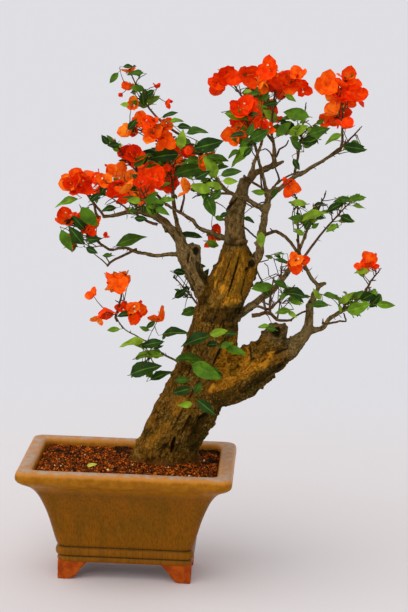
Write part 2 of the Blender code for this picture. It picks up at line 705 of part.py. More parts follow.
def grow(name, capsules):
    """Stem, twigs, leaves and blooms of one mass.

    Every number is drawn whether or not the piece then fits, so that one piece left out
    changes none of the others.
    """
    _, _, middle, half, twig_count, leaf_count, bloom_count, seed, _ = MASSES[name]
    middle = Vector(middle)
    draw = random.Random(seed * 7 + 1)
    space = Space(name, capsules)
    stem = stem_route(name)
    space.take_twig(stem)
    inside = [i / 40 for i in range(41) if space.holds([point_on(stem, i / 40)[0]], 0.0, 0.95)]
    first = inside[0] if inside else 0.5
    turn = draw.uniform(0, math.tau)
    plans = []
    for i in range(twig_count):
        turn += GOLDEN_ANGLE + draw.uniform(-0.3, 0.3)
        share = first + (1 - first) * (i + draw.uniform(0.1, 0.9)) / twig_count
        lean, lift, reach = draw.uniform(0.15, 0.75), draw.uniform(-0.05, 0.4), draw.uniform(0.86, 0.98)
        bend, sway = draw.uniform(-0.1, 0.18), draw.uniform(-0.12, 0.12)
        start, way = point_on(stem, share)
        side = way.orthogonal().normalized()
        out = side * math.cos(turn) + way.cross(side) * math.sin(turn)
        heading = (out + way * lean + Vector((0, 0, lift))).normalized()
        if i == twig_count - 1:
            heading = (way + out * 0.25).normalized()
        blooming = i * bloom_count // twig_count != (i + 1) * bloom_count // twig_count
        ending = BRACT_LENGTH * 0.8 if blooming else LEAF_LENGTH * 0.7
        length = ellipsoid_reach(start - middle, heading, half) * reach - ending
        length = max(TWIG_SHORTEST, min(TWIG_LONGEST, length))
        curve = Vector((0, 0, 1)) * bend + way.cross(out) * sway
        twig = fit_twig(space, start, heading, curve, length)
        if twig:
            plans.append((i, len(space.twigs) - 1, twig, blooming, out))
    blooms = []
    for i, number, twig, blooming, out in plans:
        if not blooming:
            continue
        draw = random.Random(seed * 100 + i)
        for place in TRUSS:
            spin, length = draw.uniform(0, math.tau), BRACT_LENGTH * draw.uniform(0.9, 1.15)
            cups = [draw.uniform(0.3, 0.8) for _ in range(BRACTS)]
            turn = draw.uniform(0, math.tau)
            spot, heads = point_on(twig, place)
            axis = heads + Vector((0, -0.2, 0.4))
            if place < 1:
                side = heads.orthogonal().normalized()
                axis = heads * 0.2 + side * math.cos(turn) + heads.cross(side) * math.sin(turn)
            blooms.append(fit_bloom(space, number, spot, axis.normalized(), spin, cups, length))
    leaves = []
    for i, number, twig, blooming, out in plans:
        draw = random.Random(seed * 200 + i)
        for k in range(leaf_count):
            size = LEAF_LENGTH * draw.uniform(0.8, 1.15)
            spread, dip, tilt = draw.uniform(0.9, 1.7), draw.uniform(-0.35, 0.2), draw.uniform(-0.5, 0.5)
            droop, shift = draw.uniform(0.02, 0.2), draw.uniform(-0.06, 0.06)
            ends = k == leaf_count - 1 and not blooming
            spot, heads = point_on(twig, 0.98 if ends else 0.42 + shift + 0.5 * k / leaf_count)
            beside = heads.cross(Vector((0, 0, 1)))
            if beside.length < 0.2:
                beside = out.cross(heads)
            beside.normalize()
            hand = (1 if (k + i) % 2 else -1) * (0.3 if ends else 1)
            along = heads + beside * (hand * spread) + Vector((0, 0, dip))
            facing = Vector((0, 0, 1)) + beside * tilt + (spot - middle).normalized() * 0.5
            leaves.append(fit_leaf(space, number, spot, blade_frame(along, facing), size, droop))
    twigs = [plan[2] for plan in plans]
    return stem, twigs, [leaf for leaf in leaves if leaf], [bloom for bloom in blooms if bloom]


def build_masses(limbs):
    capsules = obstacles()
    for name, row in MASSES.items():
        stem, twigs, leaves, blooms = grow(name, capsules)
        mass = new_object(name, *sweep(stem, 3, 0), "bark")
        face_out(mass)
        pieces = bpy.data.collections.new("pieces")
        bpy.context.scene.collection.children.link(pieces)
        solids = [("bark", sweep(twig, 3, 0)) for twig in twigs]
        solids += [("foliage", leaf_solid(leaf)) for leaf in leaves]
        solids += [("blossom", bloom_solid(bloom)) for bloom in blooms]
        for colour, solid in solids:
            face_out(new_object("piece", *solid, colour, pieces))
        fuse(mass, pieces)
        seat(mass, limbs[row[0]])


def main():
    for old in list(bpy.data.objects):
        bpy.data.objects.remove(old)
    build_pot()
    build_soil()
    limbs = build_limbs(build_trunk())
    build_masses(limbs)


main()
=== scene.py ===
import math
import random

import bpy
import bmesh
import numpy as np
from mathutils import Matrix, Vector, noise
from mathutils.bvhtree import BVHTree
from mathutils.kdtree import KDTree


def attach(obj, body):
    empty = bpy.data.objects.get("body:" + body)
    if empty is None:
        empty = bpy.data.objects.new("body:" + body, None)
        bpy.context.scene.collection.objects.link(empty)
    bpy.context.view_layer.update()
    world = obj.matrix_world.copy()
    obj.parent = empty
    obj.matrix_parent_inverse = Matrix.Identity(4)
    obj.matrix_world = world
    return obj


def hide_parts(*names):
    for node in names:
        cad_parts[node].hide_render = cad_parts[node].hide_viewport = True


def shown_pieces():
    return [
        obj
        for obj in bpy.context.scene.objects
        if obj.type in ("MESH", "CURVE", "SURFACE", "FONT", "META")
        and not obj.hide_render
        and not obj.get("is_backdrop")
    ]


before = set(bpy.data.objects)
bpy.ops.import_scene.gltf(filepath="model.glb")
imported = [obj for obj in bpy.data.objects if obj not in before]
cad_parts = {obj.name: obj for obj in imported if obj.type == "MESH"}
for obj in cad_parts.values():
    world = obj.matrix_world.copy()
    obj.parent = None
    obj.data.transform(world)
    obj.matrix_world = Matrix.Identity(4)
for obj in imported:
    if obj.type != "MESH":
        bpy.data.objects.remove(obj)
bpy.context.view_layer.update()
print("frame loaded:", len(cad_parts), "nodes")

# Lengths are millimetres from the middle of the pot's footprint, X right, Y back, Z up.
mm = 0.001
potPlace = np.array([-144.9, -8.1, 0.0])    # the pot's middle in the part's own frame


# Small helpers for meshes
def smoothStep(low, high, value):
    t = np.clip((value - low) / (high - low), 0.0, 1.0)
    return t * t * (3 - 2 * t)


def unit(vectors):
    return vectors / np.maximum(np.linalg.norm(vectors, axis=-1, keepdims=True), 1e-9)


def grainNoise(places, scale, shift=0.0):
    # smooth noise from -1 to 1 at points, with one scale or one for each axis
    rows = (places / np.array(scale) + shift).tolist()
    return np.array([noise.noise(row) for row in rows])


def makePiece(name, points, faces, finishes, faceFinish=None, smooth=True):
    # a mesh object from points in millimetres and lists of faces
    mesh = bpy.data.meshes.new(name)
    places = (np.asarray(points, float) + potPlace) * mm
    mesh.from_pydata(places.tolist(), [], faces if isinstance(faces, list) else faces.tolist())
    for finish in finishes:
        mesh.materials.append(finish)
    if faceFinish is not None:
        mesh.polygons.foreach_set("material_index", np.asarray(faceFinish, np.int32))
    if smooth:
        mesh.shade_smooth()
    mesh.update()
    piece = bpy.data.objects.new(name, mesh)
    bpy.context.scene.collection.objects.link(piece)
    return piece


def merged(forms):
    # many (points, faces) forms as one
    points, faces = [], []
    for spots, sides in forms:
        faces += [[index + len(points) for index in face] for face in sides]
        points += spots
    return points, faces


def joined(name, forms, finishes, tones=None):
    kinds = np.repeat(tones, [len(sides) for _, sides in forms]) if tones else None
    return makePiece(name, *merged(forms), finishes, kinds)


def placesOf(mesh):
    flat = np.empty(len(mesh.vertices) * 3, np.float32)
    mesh.vertices.foreach_get("co", flat)
    return flat.reshape(-1, 3).astype(float) / mm - potPlace


def normalsOf(mesh):
    flat = np.empty(len(mesh.vertices) * 3, np.float32)
    mesh.vertices.foreach_get("normal", flat)
    return flat.reshape(-1, 3).astype(float)


def setPlaces(mesh, places):
    mesh.vertices.foreach_set("co", ((places + potPlace) * mm).astype(np.float32).ravel())
    mesh.update()


def markPoints(mesh, name, values):
    kind = "FLOAT" if values.ndim == 1 else "FLOAT_VECTOR"
    layer = mesh.attributes.new(name, kind, "POINT")
    layer.data.foreach_set("value" if values.ndim == 1 else "vector", values.astype(np.float32).ravel())


def remeshed(piece, voxel):
    # one even skin round everything that overlaps
    change = piece.modifiers.new("skin", "REMESH")
    change.mode = "VOXEL"
    change.voxel_size = voxel * mm
    graph = bpy.context.evaluated_depsgraph_get()
    skin = bpy.data.meshes.new_from_object(piece.evaluated_get(graph))
    piece.modifiers.clear()
    old = piece.data
    piece.data = skin
    bpy.data.meshes.remove(old)
    skin.shade_smooth()
    return skin


def relax(mesh, places, share, rounds):
    # moves each point towards the mean of its neighbours by its own share
    ends = np.empty(len(mesh.edges) * 2, np.int32)
    mesh.edges.foreach_get("vertices", ends)
    a, b = ends.reshape(-1, 2).T
    count = np.bincount(a, minlength=len(places)) + np.bincount(b, minlength=len(places))
    share = np.broadcast_to(share, len(places))[:, None]
    for _ in range(rounds):
        total = np.stack([np.bincount(a, places[b, k], len(places)) + np.bincount(b, places[a, k], len(places))
                          for k in range(3)], axis=1)
        places = places + share * (total / count[:, None] - places)
    return places


# Shader maths
class Wire:
    # wraps a socket; an operator adds the Math node that it stands for
    def __init__(self, finish, socket):
        self.finish = finish
        self.socket = socket

    def maths(self, operation, other):
        return self.finish.out(self.finish.node("ShaderNodeMath", {"operation": operation}, {0: self, 1: other}))

    def __add__(self, other): return self.maths("ADD", other)
    def __sub__(self, other): return self.maths("SUBTRACT", other)
    def __mul__(self, other): return self.maths("MULTIPLY", other)


class Finish:
    # one material: its Principled shader, and the nodes that feed it
    def __init__(self, name, **constants):
        self.material = bpy.data.materials.new(name)
        self.material.use_nodes = True
        self.tree = self.material.node_tree
        self.shader = self.tree.nodes["Principled BSDF"]
        for socket, value in constants.items():
            self.shader.inputs[socket.replace("_", " ")].default_value = value

    def node(self, kind, settings, sockets):
        made = self.tree.nodes.new(kind)
        for key, value in settings.items():
            setattr(made, key, value)
        for key, value in sockets.items():
            self.feed(made.inputs[key], value)
        return made

    def feed(self, socket, value):
        if isinstance(value, Wire):
            self.tree.links.new(value.socket, socket)
        elif isinstance(value, tuple) and len(value) == 3 and socket.type == "RGBA":
            socket.default_value = (*value, 1.0)
        else:
            socket.default_value = value

    def out(self, node, index=0):
        return Wire(self, node.outputs[index])

    def stretched(self, vector, scale):
        return self.out(self.node("ShaderNodeVectorMath", {"operation": "MULTIPLY"}, {0: vector, 1: scale}))

    def place(self, scale=(1.0, 1.0, 1.0)):
        # object coordinates in millimetres, stretched
        spot = self.out(self.node("ShaderNodeTexCoord", {}, {}), 3)
        return self.stretched(spot, tuple(k / mm for k in scale))

    def mark(self, name, index=2):
        return self.out(self.node("ShaderNodeAttribute", {"attribute_name": name}, {}), index)

    def height(self, vector):
        return self.out(self.node("ShaderNodeSeparateXYZ", {}, {0: vector}), 2)

    def noise(self, vector, size, detail=2.0, roughness=0.5):
        sockets = {"Vector": vector, "Scale": 1.0 / size, "Detail": detail, "Roughness": roughness}
        return self.out(self.node("ShaderNodeTexNoise", {}, sockets))

    def span(self, value, low, high, start=0.0, end=1.0):
        # runs from start to end while a value goes from low to high
        sockets = {0: value, 1: low, 2: high, 3: start, 4: end}
        return self.out(self.node("ShaderNodeMapRange", {"interpolation_type": "SMOOTHSTEP"}, sockets))

    def mix(self, share, first, second):
        return self.out(self.node("ShaderNodeMix", {"data_type": "RGBA"}, {0: share, 6: first, 7: second}), 2)

    def layers(self, body, *rows):
        # lays colours over a body, each where a value passes from low to high
        for value, low, high, most, colour in rows:
            body = self.mix(self.span(value, low, high, 0.0, most), body, colour)
        return body

    def mottled(self, first, second, low, high, *pattern):
        # two colours in soft patches of this size, detail and roughness
        return self.mix(self.span(self.noise(self.place(), *pattern), low, high), first, second)

    def bump(self, height, distance, strength, under=None):
        sockets = {"Height": height, "Distance": distance * mm, "Strength": strength}
        if under:
            sockets["Normal"] = under
        return self.out(self.node("ShaderNodeBump", {}, sockets))

    def wear(self, **links):
        for socket, value in links.items():
            self.feed(self.shader.inputs[socket.replace("_", " ")], value)
        return self.material


# Camera, light and floor
view = {
    "lens": 111.76, "sensor": 36.0,
    "place": (275.78, -3484.5, 1211.8),
    "right": (0.99850, 0.04636, 0.02908),
    "up": (-0.03748, 0.19209, 0.98066),
}
studio = {
    "air": (0.96, 0.97, 1.0), "airStrength": 0.70,
    "keyTurn": (42.0, -16.0, -28.0), "keyStrength": 1.35, "keySoftness": 80.0,
    "floorNear": (0.80, 0.745, 0.735), "floorFar": (0.752, 0.745, 0.765),
    "fadeFrom": 300.0, "fadeTo": 1900.0,        # millimetres from the middle where the floor's tone changes
    "floorHalf": 70,                            # metres
}
scene = bpy.context.scene
camera = bpy.data.objects.new("camera", bpy.data.cameras.new("camera"))
camera.data.lens = view["lens"]
camera.data.sensor_width = view["sensor"]
camera.data.clip_end = 200
rightWay = Vector(view["right"]).normalized()
upWay = Vector(view["up"])
backWay = rightWay.cross(upWay).normalized()
upWay = backWay.cross(rightWay)
aim = Matrix((rightWay, upWay, backWay)).transposed().to_4x4()
camera.matrix_world = Matrix.Translation(Vector(potPlace + view["place"]) * mm) @ aim
scene.collection.objects.link(camera)
scene.camera = camera
scene.view_settings.view_transform = "Standard"

world = bpy.data.worlds.new("air")
world.use_nodes = True
world.node_tree.nodes["Background"].inputs[0].default_value = (*studio["air"], 1.0)
world.node_tree.nodes["Background"].inputs[1].default_value = studio["airStrength"]
scene.world = world

key = bpy.data.objects.new("key", bpy.data.lights.new("key", "SUN"))
key.data.energy = studio["keyStrength"]
key.data.angle = math.radians(studio["keySoftness"])
key.rotation_euler = [math.radians(turn) for turn in studio["keyTurn"]]
scene.collection.objects.link(key)

floorFinish = Finish("paleFloor", Roughness=0.9)
away = floorFinish.out(floorFinish.node("ShaderNodeVectorMath", {"operation": "LENGTH"}, {0: floorFinish.place()}), 1)
fade = floorFinish.span(away, studio["fadeFrom"], studio["fadeTo"])
floorFinish.wear(Base_Color=floorFinish.mix(fade, studio["floorNear"], studio["floorFar"]))
floorMesh = bpy.data.meshes.new("floor")
half = studio["floorHalf"]
floorMesh.from_pydata([(-half, -half, 0), (half, -half, 0), (half, half, 0), (-half, half, 0)], [], [(0, 1, 2, 3)])
floorMesh.materials.append(floorFinish.material)
floor = bpy.data.objects.new("floor", floorMesh)
scene.collection.objects.link(floor)
floor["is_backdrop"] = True
print("camera, light and floor set")


# Pot
pot = {
    "length": 400.0, "depth": 280.0, "height": 227.0, "corner": 16.0,
    "cornerSteps": 10, "sideSteps": 26, "endSteps": 18,
    "waviness": 0.55,       # how far the hand-made walls wander
    "rimWave": 0.5,         # how far the rim rises and falls
    # inset from the lip's edge and drop from its top, from inside the soil, up, over and down
    "profile": [
        (50, 58), (41, 44), (35, 34), (31.5, 22), (29.5, 13), (28.6, 8), (27.2, 4), (24.6, 1.6), (21, 0.5),
        (16, 0.1), (11, 0.0), (6.5, 0.4), (3.0, 1.8), (0.9, 4.2), (-0.4, 8), (-1.0, 12), (-0.9, 15.5),
        (0.2, 19), (2.6, 22.4), (7, 26.2), (13, 29.8), (19, 33.5), (23.8, 37.2), (28, 41.5), (32.6, 47.4),
        (37, 54.5), (41.2, 62.8), (45, 72), (49.1, 82.8), (53, 94), (57.2, 108), (61, 122), (64.7, 136),
        (68, 149), (70.2, 156), (71.6, 159.4), (73.1, 161.2), (73.6, 162.6), (72.6, 164), (70.3, 165.4),
        (69.1, 168), (68.8, 171.5), (69.1, 175), (70.0, 177.4), (72.6, 179), (73.8, 180.6), (73.2, 182.4),
        (71.9, 184.4), (71.6, 187.5), (72.2, 190.4), (74.2, 192), (82, 192.2), (100, 192.2)],
    # heights between which the glaze changes, and the dark grooves' heights and widths
    "shoulder": (176.0, 196.0), "thinGlaze": (216.0, 223.5), "rimWearAndHighlight": (223.6, 227.4), "unglazed": (35.5, 37.6),
    "grooves": ((64.6, 2.6), (46.4, 2.4)),
    "tones": {
        "deep": (0.185, 0.058, 0.0002), "honey": (0.275, 0.098, 0.0004), "shade": (0.120, 0.058, 0.0003),
        "amber": (0.310, 0.096, 0.0003), "fleck": (0.075, 0.028, 0.001), "lipDeep": (0.300, 0.105, 0.0020),
        "lipPale": (0.420, 0.160, 0.0045), "edge": (0.560, 0.215, 0.030), "wornHighlightDeep": (0.50, 0.235, 0.095),
        "wornHighlightPale": (0.470, 0.345, 0.250), "groove": (0.022, 0.020, 0.004), "foot": (0.36, 0.085, 0.012),
    },
}
feet = {
    "reach": 62.0, "toe": 22.0, "wall": 15.0, "inset": 74.0, "height": 35.0, "voxel": 1.7,
    "overlap": 0.4,         # how far two wings of a foot run into each other
    "curveSteps": 14,
    "deep": (0.30, 0.040, 0.0020), "pale": (0.46, 0.085, 0.0070), "grit": (0.16, 0.026, 0.004),
}


def potRing(inset, drop):
    # a rounded rectangle at this inset and drop, with points spread along its sides
    halfX = pot["length"] / 2 - inset
    halfY = pot["depth"] / 2 - inset
    radius = pot["corner"]
    ring = []
    for corner in range(4):
        middleX = (halfX - radius) * (1 if corner in (0, 3) else -1)
        middleY = (halfY - radius) * (1 if corner in (0, 1) else -1)
        for step in range(pot["cornerSteps"] + 1):
            angle = math.radians(90) * (corner + step / pot["cornerSteps"])
            ring.append((middleX + radius * math.cos(angle), middleY + radius * math.sin(angle)))
        last = Vector(ring[-1])
        if corner % 2:
            steps, to = pot["endSteps"], Vector((last.x, -last.y))
        else:
            steps, to = pot["sideSteps"], Vector((-last.x, last.y))
        ring += [tuple(last.lerp(to, step / steps)) for step in range(1, steps)]
    return np.array([(x, y, pot["height"] - drop) for x, y in ring])


def gridFaces(rows, count):
    # quads between rings of equal length
    level = np.arange(rows - 1)[:, None] * count
    i = np.arange(count)[None, :]
    j = (i + 1) % count
    return np.stack([level + i, level + j, level + count + j, level + count + i], axis=-1).reshape(-1, 4)


def buildPot():
    rings = [potRing(*row) for row in pot["profile"]]
    count = len(rings[0])
    places = np.concatenate(rings)
    outward = unit(places * (1, 1, 0))
    wander = grainNoise(places, 60.0, 3.1) * 1.0 + grainNoise(places, 22.0, 9.4) * 0.35
    places = places + outward * (wander * pot["waviness"])[:, None]
    places[:, 2] += grainNoise(places, 90.0, 5.7) * pot["rimWave"] * smoothStep(150, 215, places[:, 2])
    faces = gridFaces(len(rings), count).tolist()
    low = (len(rings) - 1) * count
    faces.append([low + k for k in range(count)][::-1])
    faces = [face[::-1] for face in faces]
    return makePiece("glazedPot", places, faces, [glazeFinish()])


def glazeFinish():
    # honey-brown glaze: thin and pale over the lip, worn and with a painted highlight along the top of the rim,
    # streaked below, dark in the grooves
    tone = pot["tones"]
    glaze = Finish("honeyGlaze", Roughness=0.34, Specular_IOR_Level=0.09)
    spot = glaze.place()
    height = glaze.height(spot)
    runs = glaze.noise(glaze.place((1.0, 1.0, 0.035)), 2.6, 3.0, 0.6)
    wide = glaze.noise(glaze.place((1.0, 1.0, 0.4)), 30.0, 4.0, 0.6)
    fleck = glaze.noise(glaze.place((1.0, 1.0, 0.4)), 1.9, 2.0, 0.7)
    rim = glaze.noise(spot, 13.0, 5.0, 0.65)
    body = glaze.mix(glaze.span(runs, 0.30, 0.72), tone["deep"], tone["honey"])
    body = glaze.layers(
        body, (wide, 0.42, 0.74, 0.6, tone["shade"]), (wide, 0.44, 0.26, 0.5, tone["amber"]),
        (fleck, 0.58, 0.76, 0.35, tone["fleck"]))
    stray = rim - 0.5
    shoulder = glaze.span(height, *pot["shoulder"])
    lip = glaze.mix(glaze.span(rim, 0.36, 0.64), tone["lipDeep"], tone["lipPale"])
    body = glaze.mix(shoulder * 0.9, body, lip)
    edge = glaze.mix(glaze.span(height + stray * 6.0, *pot["thinGlaze"]), body, tone["edge"])
    # the top of the rim: worn glaze, with a painted highlight along it
    top = glaze.span(height + stray * 7.0, *pot["rimWearAndHighlight"])
    wornAndHighlight = glaze.mix(glaze.span(rim, 0.38, 0.62), tone["wornHighlightDeep"], tone["wornHighlightPale"])
    body = glaze.mix(top, edge, wornAndHighlight)
    for level, width in pot["grooves"]:
        below = glaze.span(height - level + stray * 1.6, -width, 0.0)
        above = glaze.span(height - level, 0.0, width, 1.0, 0.0)
        body = glaze.mix(below * above * 0.92, body, tone["groove"])
    bare = glaze.span(height + stray * 3.0, *pot["unglazed"], 1.0, 0.0)
    body = glaze.mix(bare, body, tone["foot"])
    rough = glaze.span(runs, 0.3, 0.7, 0.26, 0.36) + top * 0.36 + bare * 0.5
    relief = glaze.bump(runs * 0.6 + fleck * 0.4, 0.25, 0.5)
    return glaze.wear(Base_Color=body, Roughness=rough, Normal=glaze.bump(wide, 1.2, 0.5, relief))


def clayFinish():
    clay = Finish("bareClay", Roughness=0.85, Specular_IOR_Level=0.1)
    spot = clay.place()
    blotch = clay.noise(spot, 14.0, 4.0, 0.6)
    grit = clay.noise(spot, 1.4, 2.0, 0.6)
    body = clay.mix(clay.span(blotch, 0.35, 0.68), feet["deep"], feet["pale"])
    body = clay.layers(body, (grit, 0.62, 0.76, 0.6, feet["grit"]))
    return clay.wear(Base_Color=body, Roughness=clay.span(blotch, 0.3, 0.7, 0.78, 0.92),
                     Normal=clay.bump(grit, 0.5, 0.6, clay.bump(blotch, 1.4, 0.5)))


def footWing(signX, signY, lengthwise):
    # one wing of a bracket foot, its inner edge sweeping up in an ogee
    top = feet["height"] + 4
    toe, reach = feet["toe"], feet["reach"]
    steps = feet["curveSteps"]
    sweepUp = [(toe + (reach - toe) * t, (feet["height"] + 1) * (0.5 - 0.5 * math.cos(math.pi * t ** 1.15)) ** 0.8)
               for t in (k / steps for k in range(1, steps + 1))]
    outline = [(-feet["overlap"], 0), (toe, 0)] + sweepUp + [(reach, top), (-feet["overlap"], top)]
    cornerX = pot["length"] / 2 - feet["inset"]
    cornerY = pot["depth"] / 2 - feet["inset"]
    points = []
    for deep in (-feet["overlap"], feet["wall"]):
        for along, height in outline:
            runX, runY = (along, deep) if lengthwise else (deep, along)
            points.append((signX * (cornerX - runX), signY * (cornerY - runY), height))
    count = len(outline)
    faces = [list(range(count))[::-1], [count + k for k in range(count)]]
    faces += [[k, (k + 1) % count, count + (k + 1) % count, count + k] for k in range(count)]
    return points, faces


def buildFeet():
    corners = [(signX, signY) for signX in (-1, 1) for signY in (-1, 1)]
    wings = [footWing(*signs, lengthwise) for signs in corners for lengthwise in (True, False)]
    piece = joined("clayFeet", wings, [])
    body = bmesh.new()
    body.from_mesh(piece.data)
    bmesh.ops.recalc_face_normals(body, faces=body.faces)
    body.to_mesh(piece.data)
    body.free()
    mesh = remeshed(piece, feet["voxel"])
    mesh.materials.clear()
    mesh.materials.append(clayFinish())
    places = relax(mesh, placesOf(mesh), 0.5, 5)
    places += normalsOf(mesh) * (grainNoise(places, 9.0) * 0.45 + grainNoise(places, 3.0) * 0.12)[:, None]
    places[:, 2] = np.clip(places[:, 2], 0.0, feet["height"] + 3.0)
    setPlaces(mesh, places)
    return piece


glazedPot = buildPot()
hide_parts("pot")
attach(glazedPot, "root")
clayFeet = buildFeet()
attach(clayFeet, "root")
print("pot and feet made")


# Limbs: the source's tables and curves
trunkStations = [       # middle x, y, z, half width, half depth
    (66, 24, 219.35, 66, 48), (70, 22, 244, 58, 43), (91, 18, 290, 56, 42), (117, 12, 340, 56, 42),
    (135, 6, 390, 53, 41), (151, 2, 445, 49, 38), (158, 0, 500, 43, 34), (173, -2, 550, 40, 31),
    (191, -4, 597, 38, 28), (190, -4, 637, 25, 22), (188, -4, 660, 19, 18), (187, -3, 702, 17, 16),
    (197, -2, 737, 12.5, 12.5), (202, 0, 766, 9, 9)]
limbs = {               # knots x, y, z, radius
    "bough_left": [(160, -2, 522, 20), (130, -6, 562, 18), (104, -10, 604, 15), (90, -9, 642, 11.5),
                   (60, -5, 677, 9), (20, 0, 696, 7), (-20, -4, 694, 5.5), (-58, -6, 686, 4)],
    "bough_left_low": [(97, -10, 624, 6), (60, -12, 620, 5), (18, -14, 622, 4.5), (-14, -12, 630, 4),
                       (-40, -11, 625, 3.2)],
    "bough_left_high": [(184, -8, 652, 6), (150, -17, 664, 5.5), (124, -12, 673, 5), (97, 0, 693, 4.5),
                        (68, 8, 705, 4), (44, 14, 724, 3.2)],
    "bough_right": [(208, -6, 580, 12), (230, -18, 625, 9.5), (240, -28, 690, 8), (252, -31, 744, 6.8),
                    (258, -31, 758, 5.5)],
    "bough_far_right": [(250, -31, 740, 6), (275, -32, 762, 5.6), (305, -30, 783, 5.2), (342, -26, 806, 4.6),
                        (377, -21, 828, 3.6)],
    "bough_shoot": [(242, -29, 714, 6), (210, -40, 732, 5.5), (168, -46, 752, 5), (143, -44, 782, 4.6),
                    (97, -40, 838, 3.4)],
    "bough_top": [(250, -31, 738, 5.5), (238, -42, 768, 4.8), (231, -49, 798, 4.2), (222, -52, 826, 3.2)],
    "bough_apex": [(200, -1, 756, 7.5), (226, 0, 777, 7), (252, 0, 793, 6), (255, 0, 822, 4.6), (248, 1, 852, 3.4)],
    "bough_right_low": [(152, 4, 370, 39), (192, 2, 382, 43), (231, 0, 412, 42), (262, 0, 434, 34),
                        (293, -1, 447, 20), (315, 0, 466, 13.5), (331, 0, 494, 9), (331, 0, 526, 7.2),
                        (341, 0, 560, 6)],
    "stub_right": [(251, 0, 428, 19), (262, 1, 456, 19.5), (271, 1, 480, 19), (275, 1, 493, 17)],
    "bough_right_mid": [(338, 0, 551, 5.2), (346, -1, 569, 5.2), (331, -3, 588, 5), (318, -6, 610, 4.6),
                        (308, -8, 632, 3.6)],
    "bough_right_tip": [(322, 0, 478, 7), (352, 0, 489, 6.2), (372, -3, 510, 5.4), (402, -5, 531, 4.6),
                        (428, -5, 556, 3.6)],
    "bough_arch": [(180, -12, 486, 5.5), (212, -18, 520, 4.8), (230, -17, 531, 4.2), (252, -12, 524, 3.4)],
    "bough_low": [(104, -22, 412, 5.5), (66, -46, 438, 4.6), (34, -55, 463, 4), (-4, -57, 483, 3.4),
                  (-26, -54, 503, 2.8)],
    "bough_back_left": [(152, 12, 480, 11), (130, 62, 535, 9), (96, 108, 600, 7), (70, 136, 664, 5.2),
                        (62, 142, 704, 4)],
    "bough_back_right": [(176, 14, 492, 10), (226, 58, 520, 8), (270, 96, 552, 6.4), (304, 112, 604, 5),
                         (322, 115, 656, 3.8)],
    "bough_back_top": [(187, 4, 672, 7.5), (196, 44, 724, 6.4), (214, 84, 776, 5.2), (230, 104, 822, 3.8)],
}


def smoothRoute(knots, steps):
    rows = [Vector(knot) for knot in knots]
    rows = [rows[0] * 2 - rows[1]] + rows + [rows[-1] * 2 - rows[-2]]
    route = []
    for i in range(1, len(rows) - 2):
        before, start, end, after = rows[i - 1:i + 3]
        for step in range(steps):
            t = step / steps
            row = 0.5 * (2 * start + (end - before) * t
                         + (2 * before - 5 * start + 4 * end - after) * t ** 2
                         + (3 * start - before - 3 * end + after) * t ** 3)
            route.append((row.xyz, row.w))
    route.append((rows[-2].xyz, rows[-2].w))
    return route


def tangentsOf(points):
    return [(points[min(i + 1, len(points) - 1)] - points[max(i - 1, 0)]).normalized() for i in range(len(points))]


def trunkRoute(steps=1):
    wide = smoothRoute([(x, y, z, width) for x, y, z, width, _ in trunkStations], steps)
    deep = smoothRoute([(x, y, z, depth) for x, y, z, _, depth in trunkStations], steps)
    return [(point, width, depth) for (point, width), (_, depth) in zip(wide, deep)]


def limbRoute(name):
    if name == "trunk":
        return [(point, max(width, depth)) for point, width, depth in trunkRoute()]
    return smoothRoute(limbs[name], 2)


def trunkSwell(turn, height):
    ridges = 0.035 * math.cos(3 * turn + 1.1 + height / 160) + 0.03 * math.cos(5 * turn + 2.3 - height / 120)
    return 1 + ridges + 0.12 * math.exp(-height / 22) * math.cos(5 * turn + 0.6)


def tube(route, sides, dome):
    # rings along a route of (point, radius), closed at both ends
    ways = tangentsOf([point for point, _ in route])
    side = ways[0].orthogonal().normalized()
    points = []
    for i, (point, radius) in enumerate(route):
        if i:
            side.rotate(ways[i - 1].rotation_difference(ways[i]))
        up = ways[i].cross(side)
        for k in range(sides):
            turn = math.tau * k / sides
            points.append(point + radius * (side * math.cos(turn) + up * math.sin(turn)))
    points.append(route[-1][0] + ways[-1] * route[-1][1] * dome)
    faces = gridFaces(len(route), sides).tolist()
    last, base = len(points) - 1, len(points) - 1 - sides
    faces += [[base + k, base + (k + 1) % sides, last] for k in range(sides)]
    faces.append(list(range(sides))[::-1])
    return [tuple(point) for point in points], faces


# Wood: one skin over the trunk and every bough, with the bark's relief
wood = {
    "slim": 0.72, "slimmer": {"bough_low": 0.42},       # thin limbs show finer than their solids,
    "slimUnder": 4.0, "fullOver": 12.0,                 # most under the first radius and none over the second
    "thinnest": 1.75,
    "voxel": 1.55, "trunkSides": 56, "trunkSteps": 5, "limbSteps": 6,
    "stemlike": 30.0,       # a limb as thick as this at its foot belongs to the trunk
    "sink": 7.0,            # how far the trunk goes down into the soil
    "collar": 0.5,          # swelling where a bough leaves its parent, over its own radius
    "collarReach": 2.4,     # how far that swelling runs, in radii
    "crook": 0.30,          # how far a bough's line wanders, over its radius
    "filletRounds": 20, "filletReach": 7.0,
    "grain": {"trunk": 8.5, "bough_right_low": 7.0, "bough_left": 5.2, "stub_right": 4.4},
    "thinGrain": 3.0,
    "ringScar": 652.0, "ringMiddle": 188, "ringHalf": 40,       # the raised scar round the upper trunk
    "flapThick": 3.4, "flapSteps": 16, "flapRows": 8, "flapSunk": 2.4,
    "tornFrom": 130, "tornLow": 340, "tornHigh": 640,           # where torn sheets are looked for
    "plyTop": (500, 478), "plySide": (130, 150), "plyStep": 3.0,    # bare wood in layers, fading out between these
}
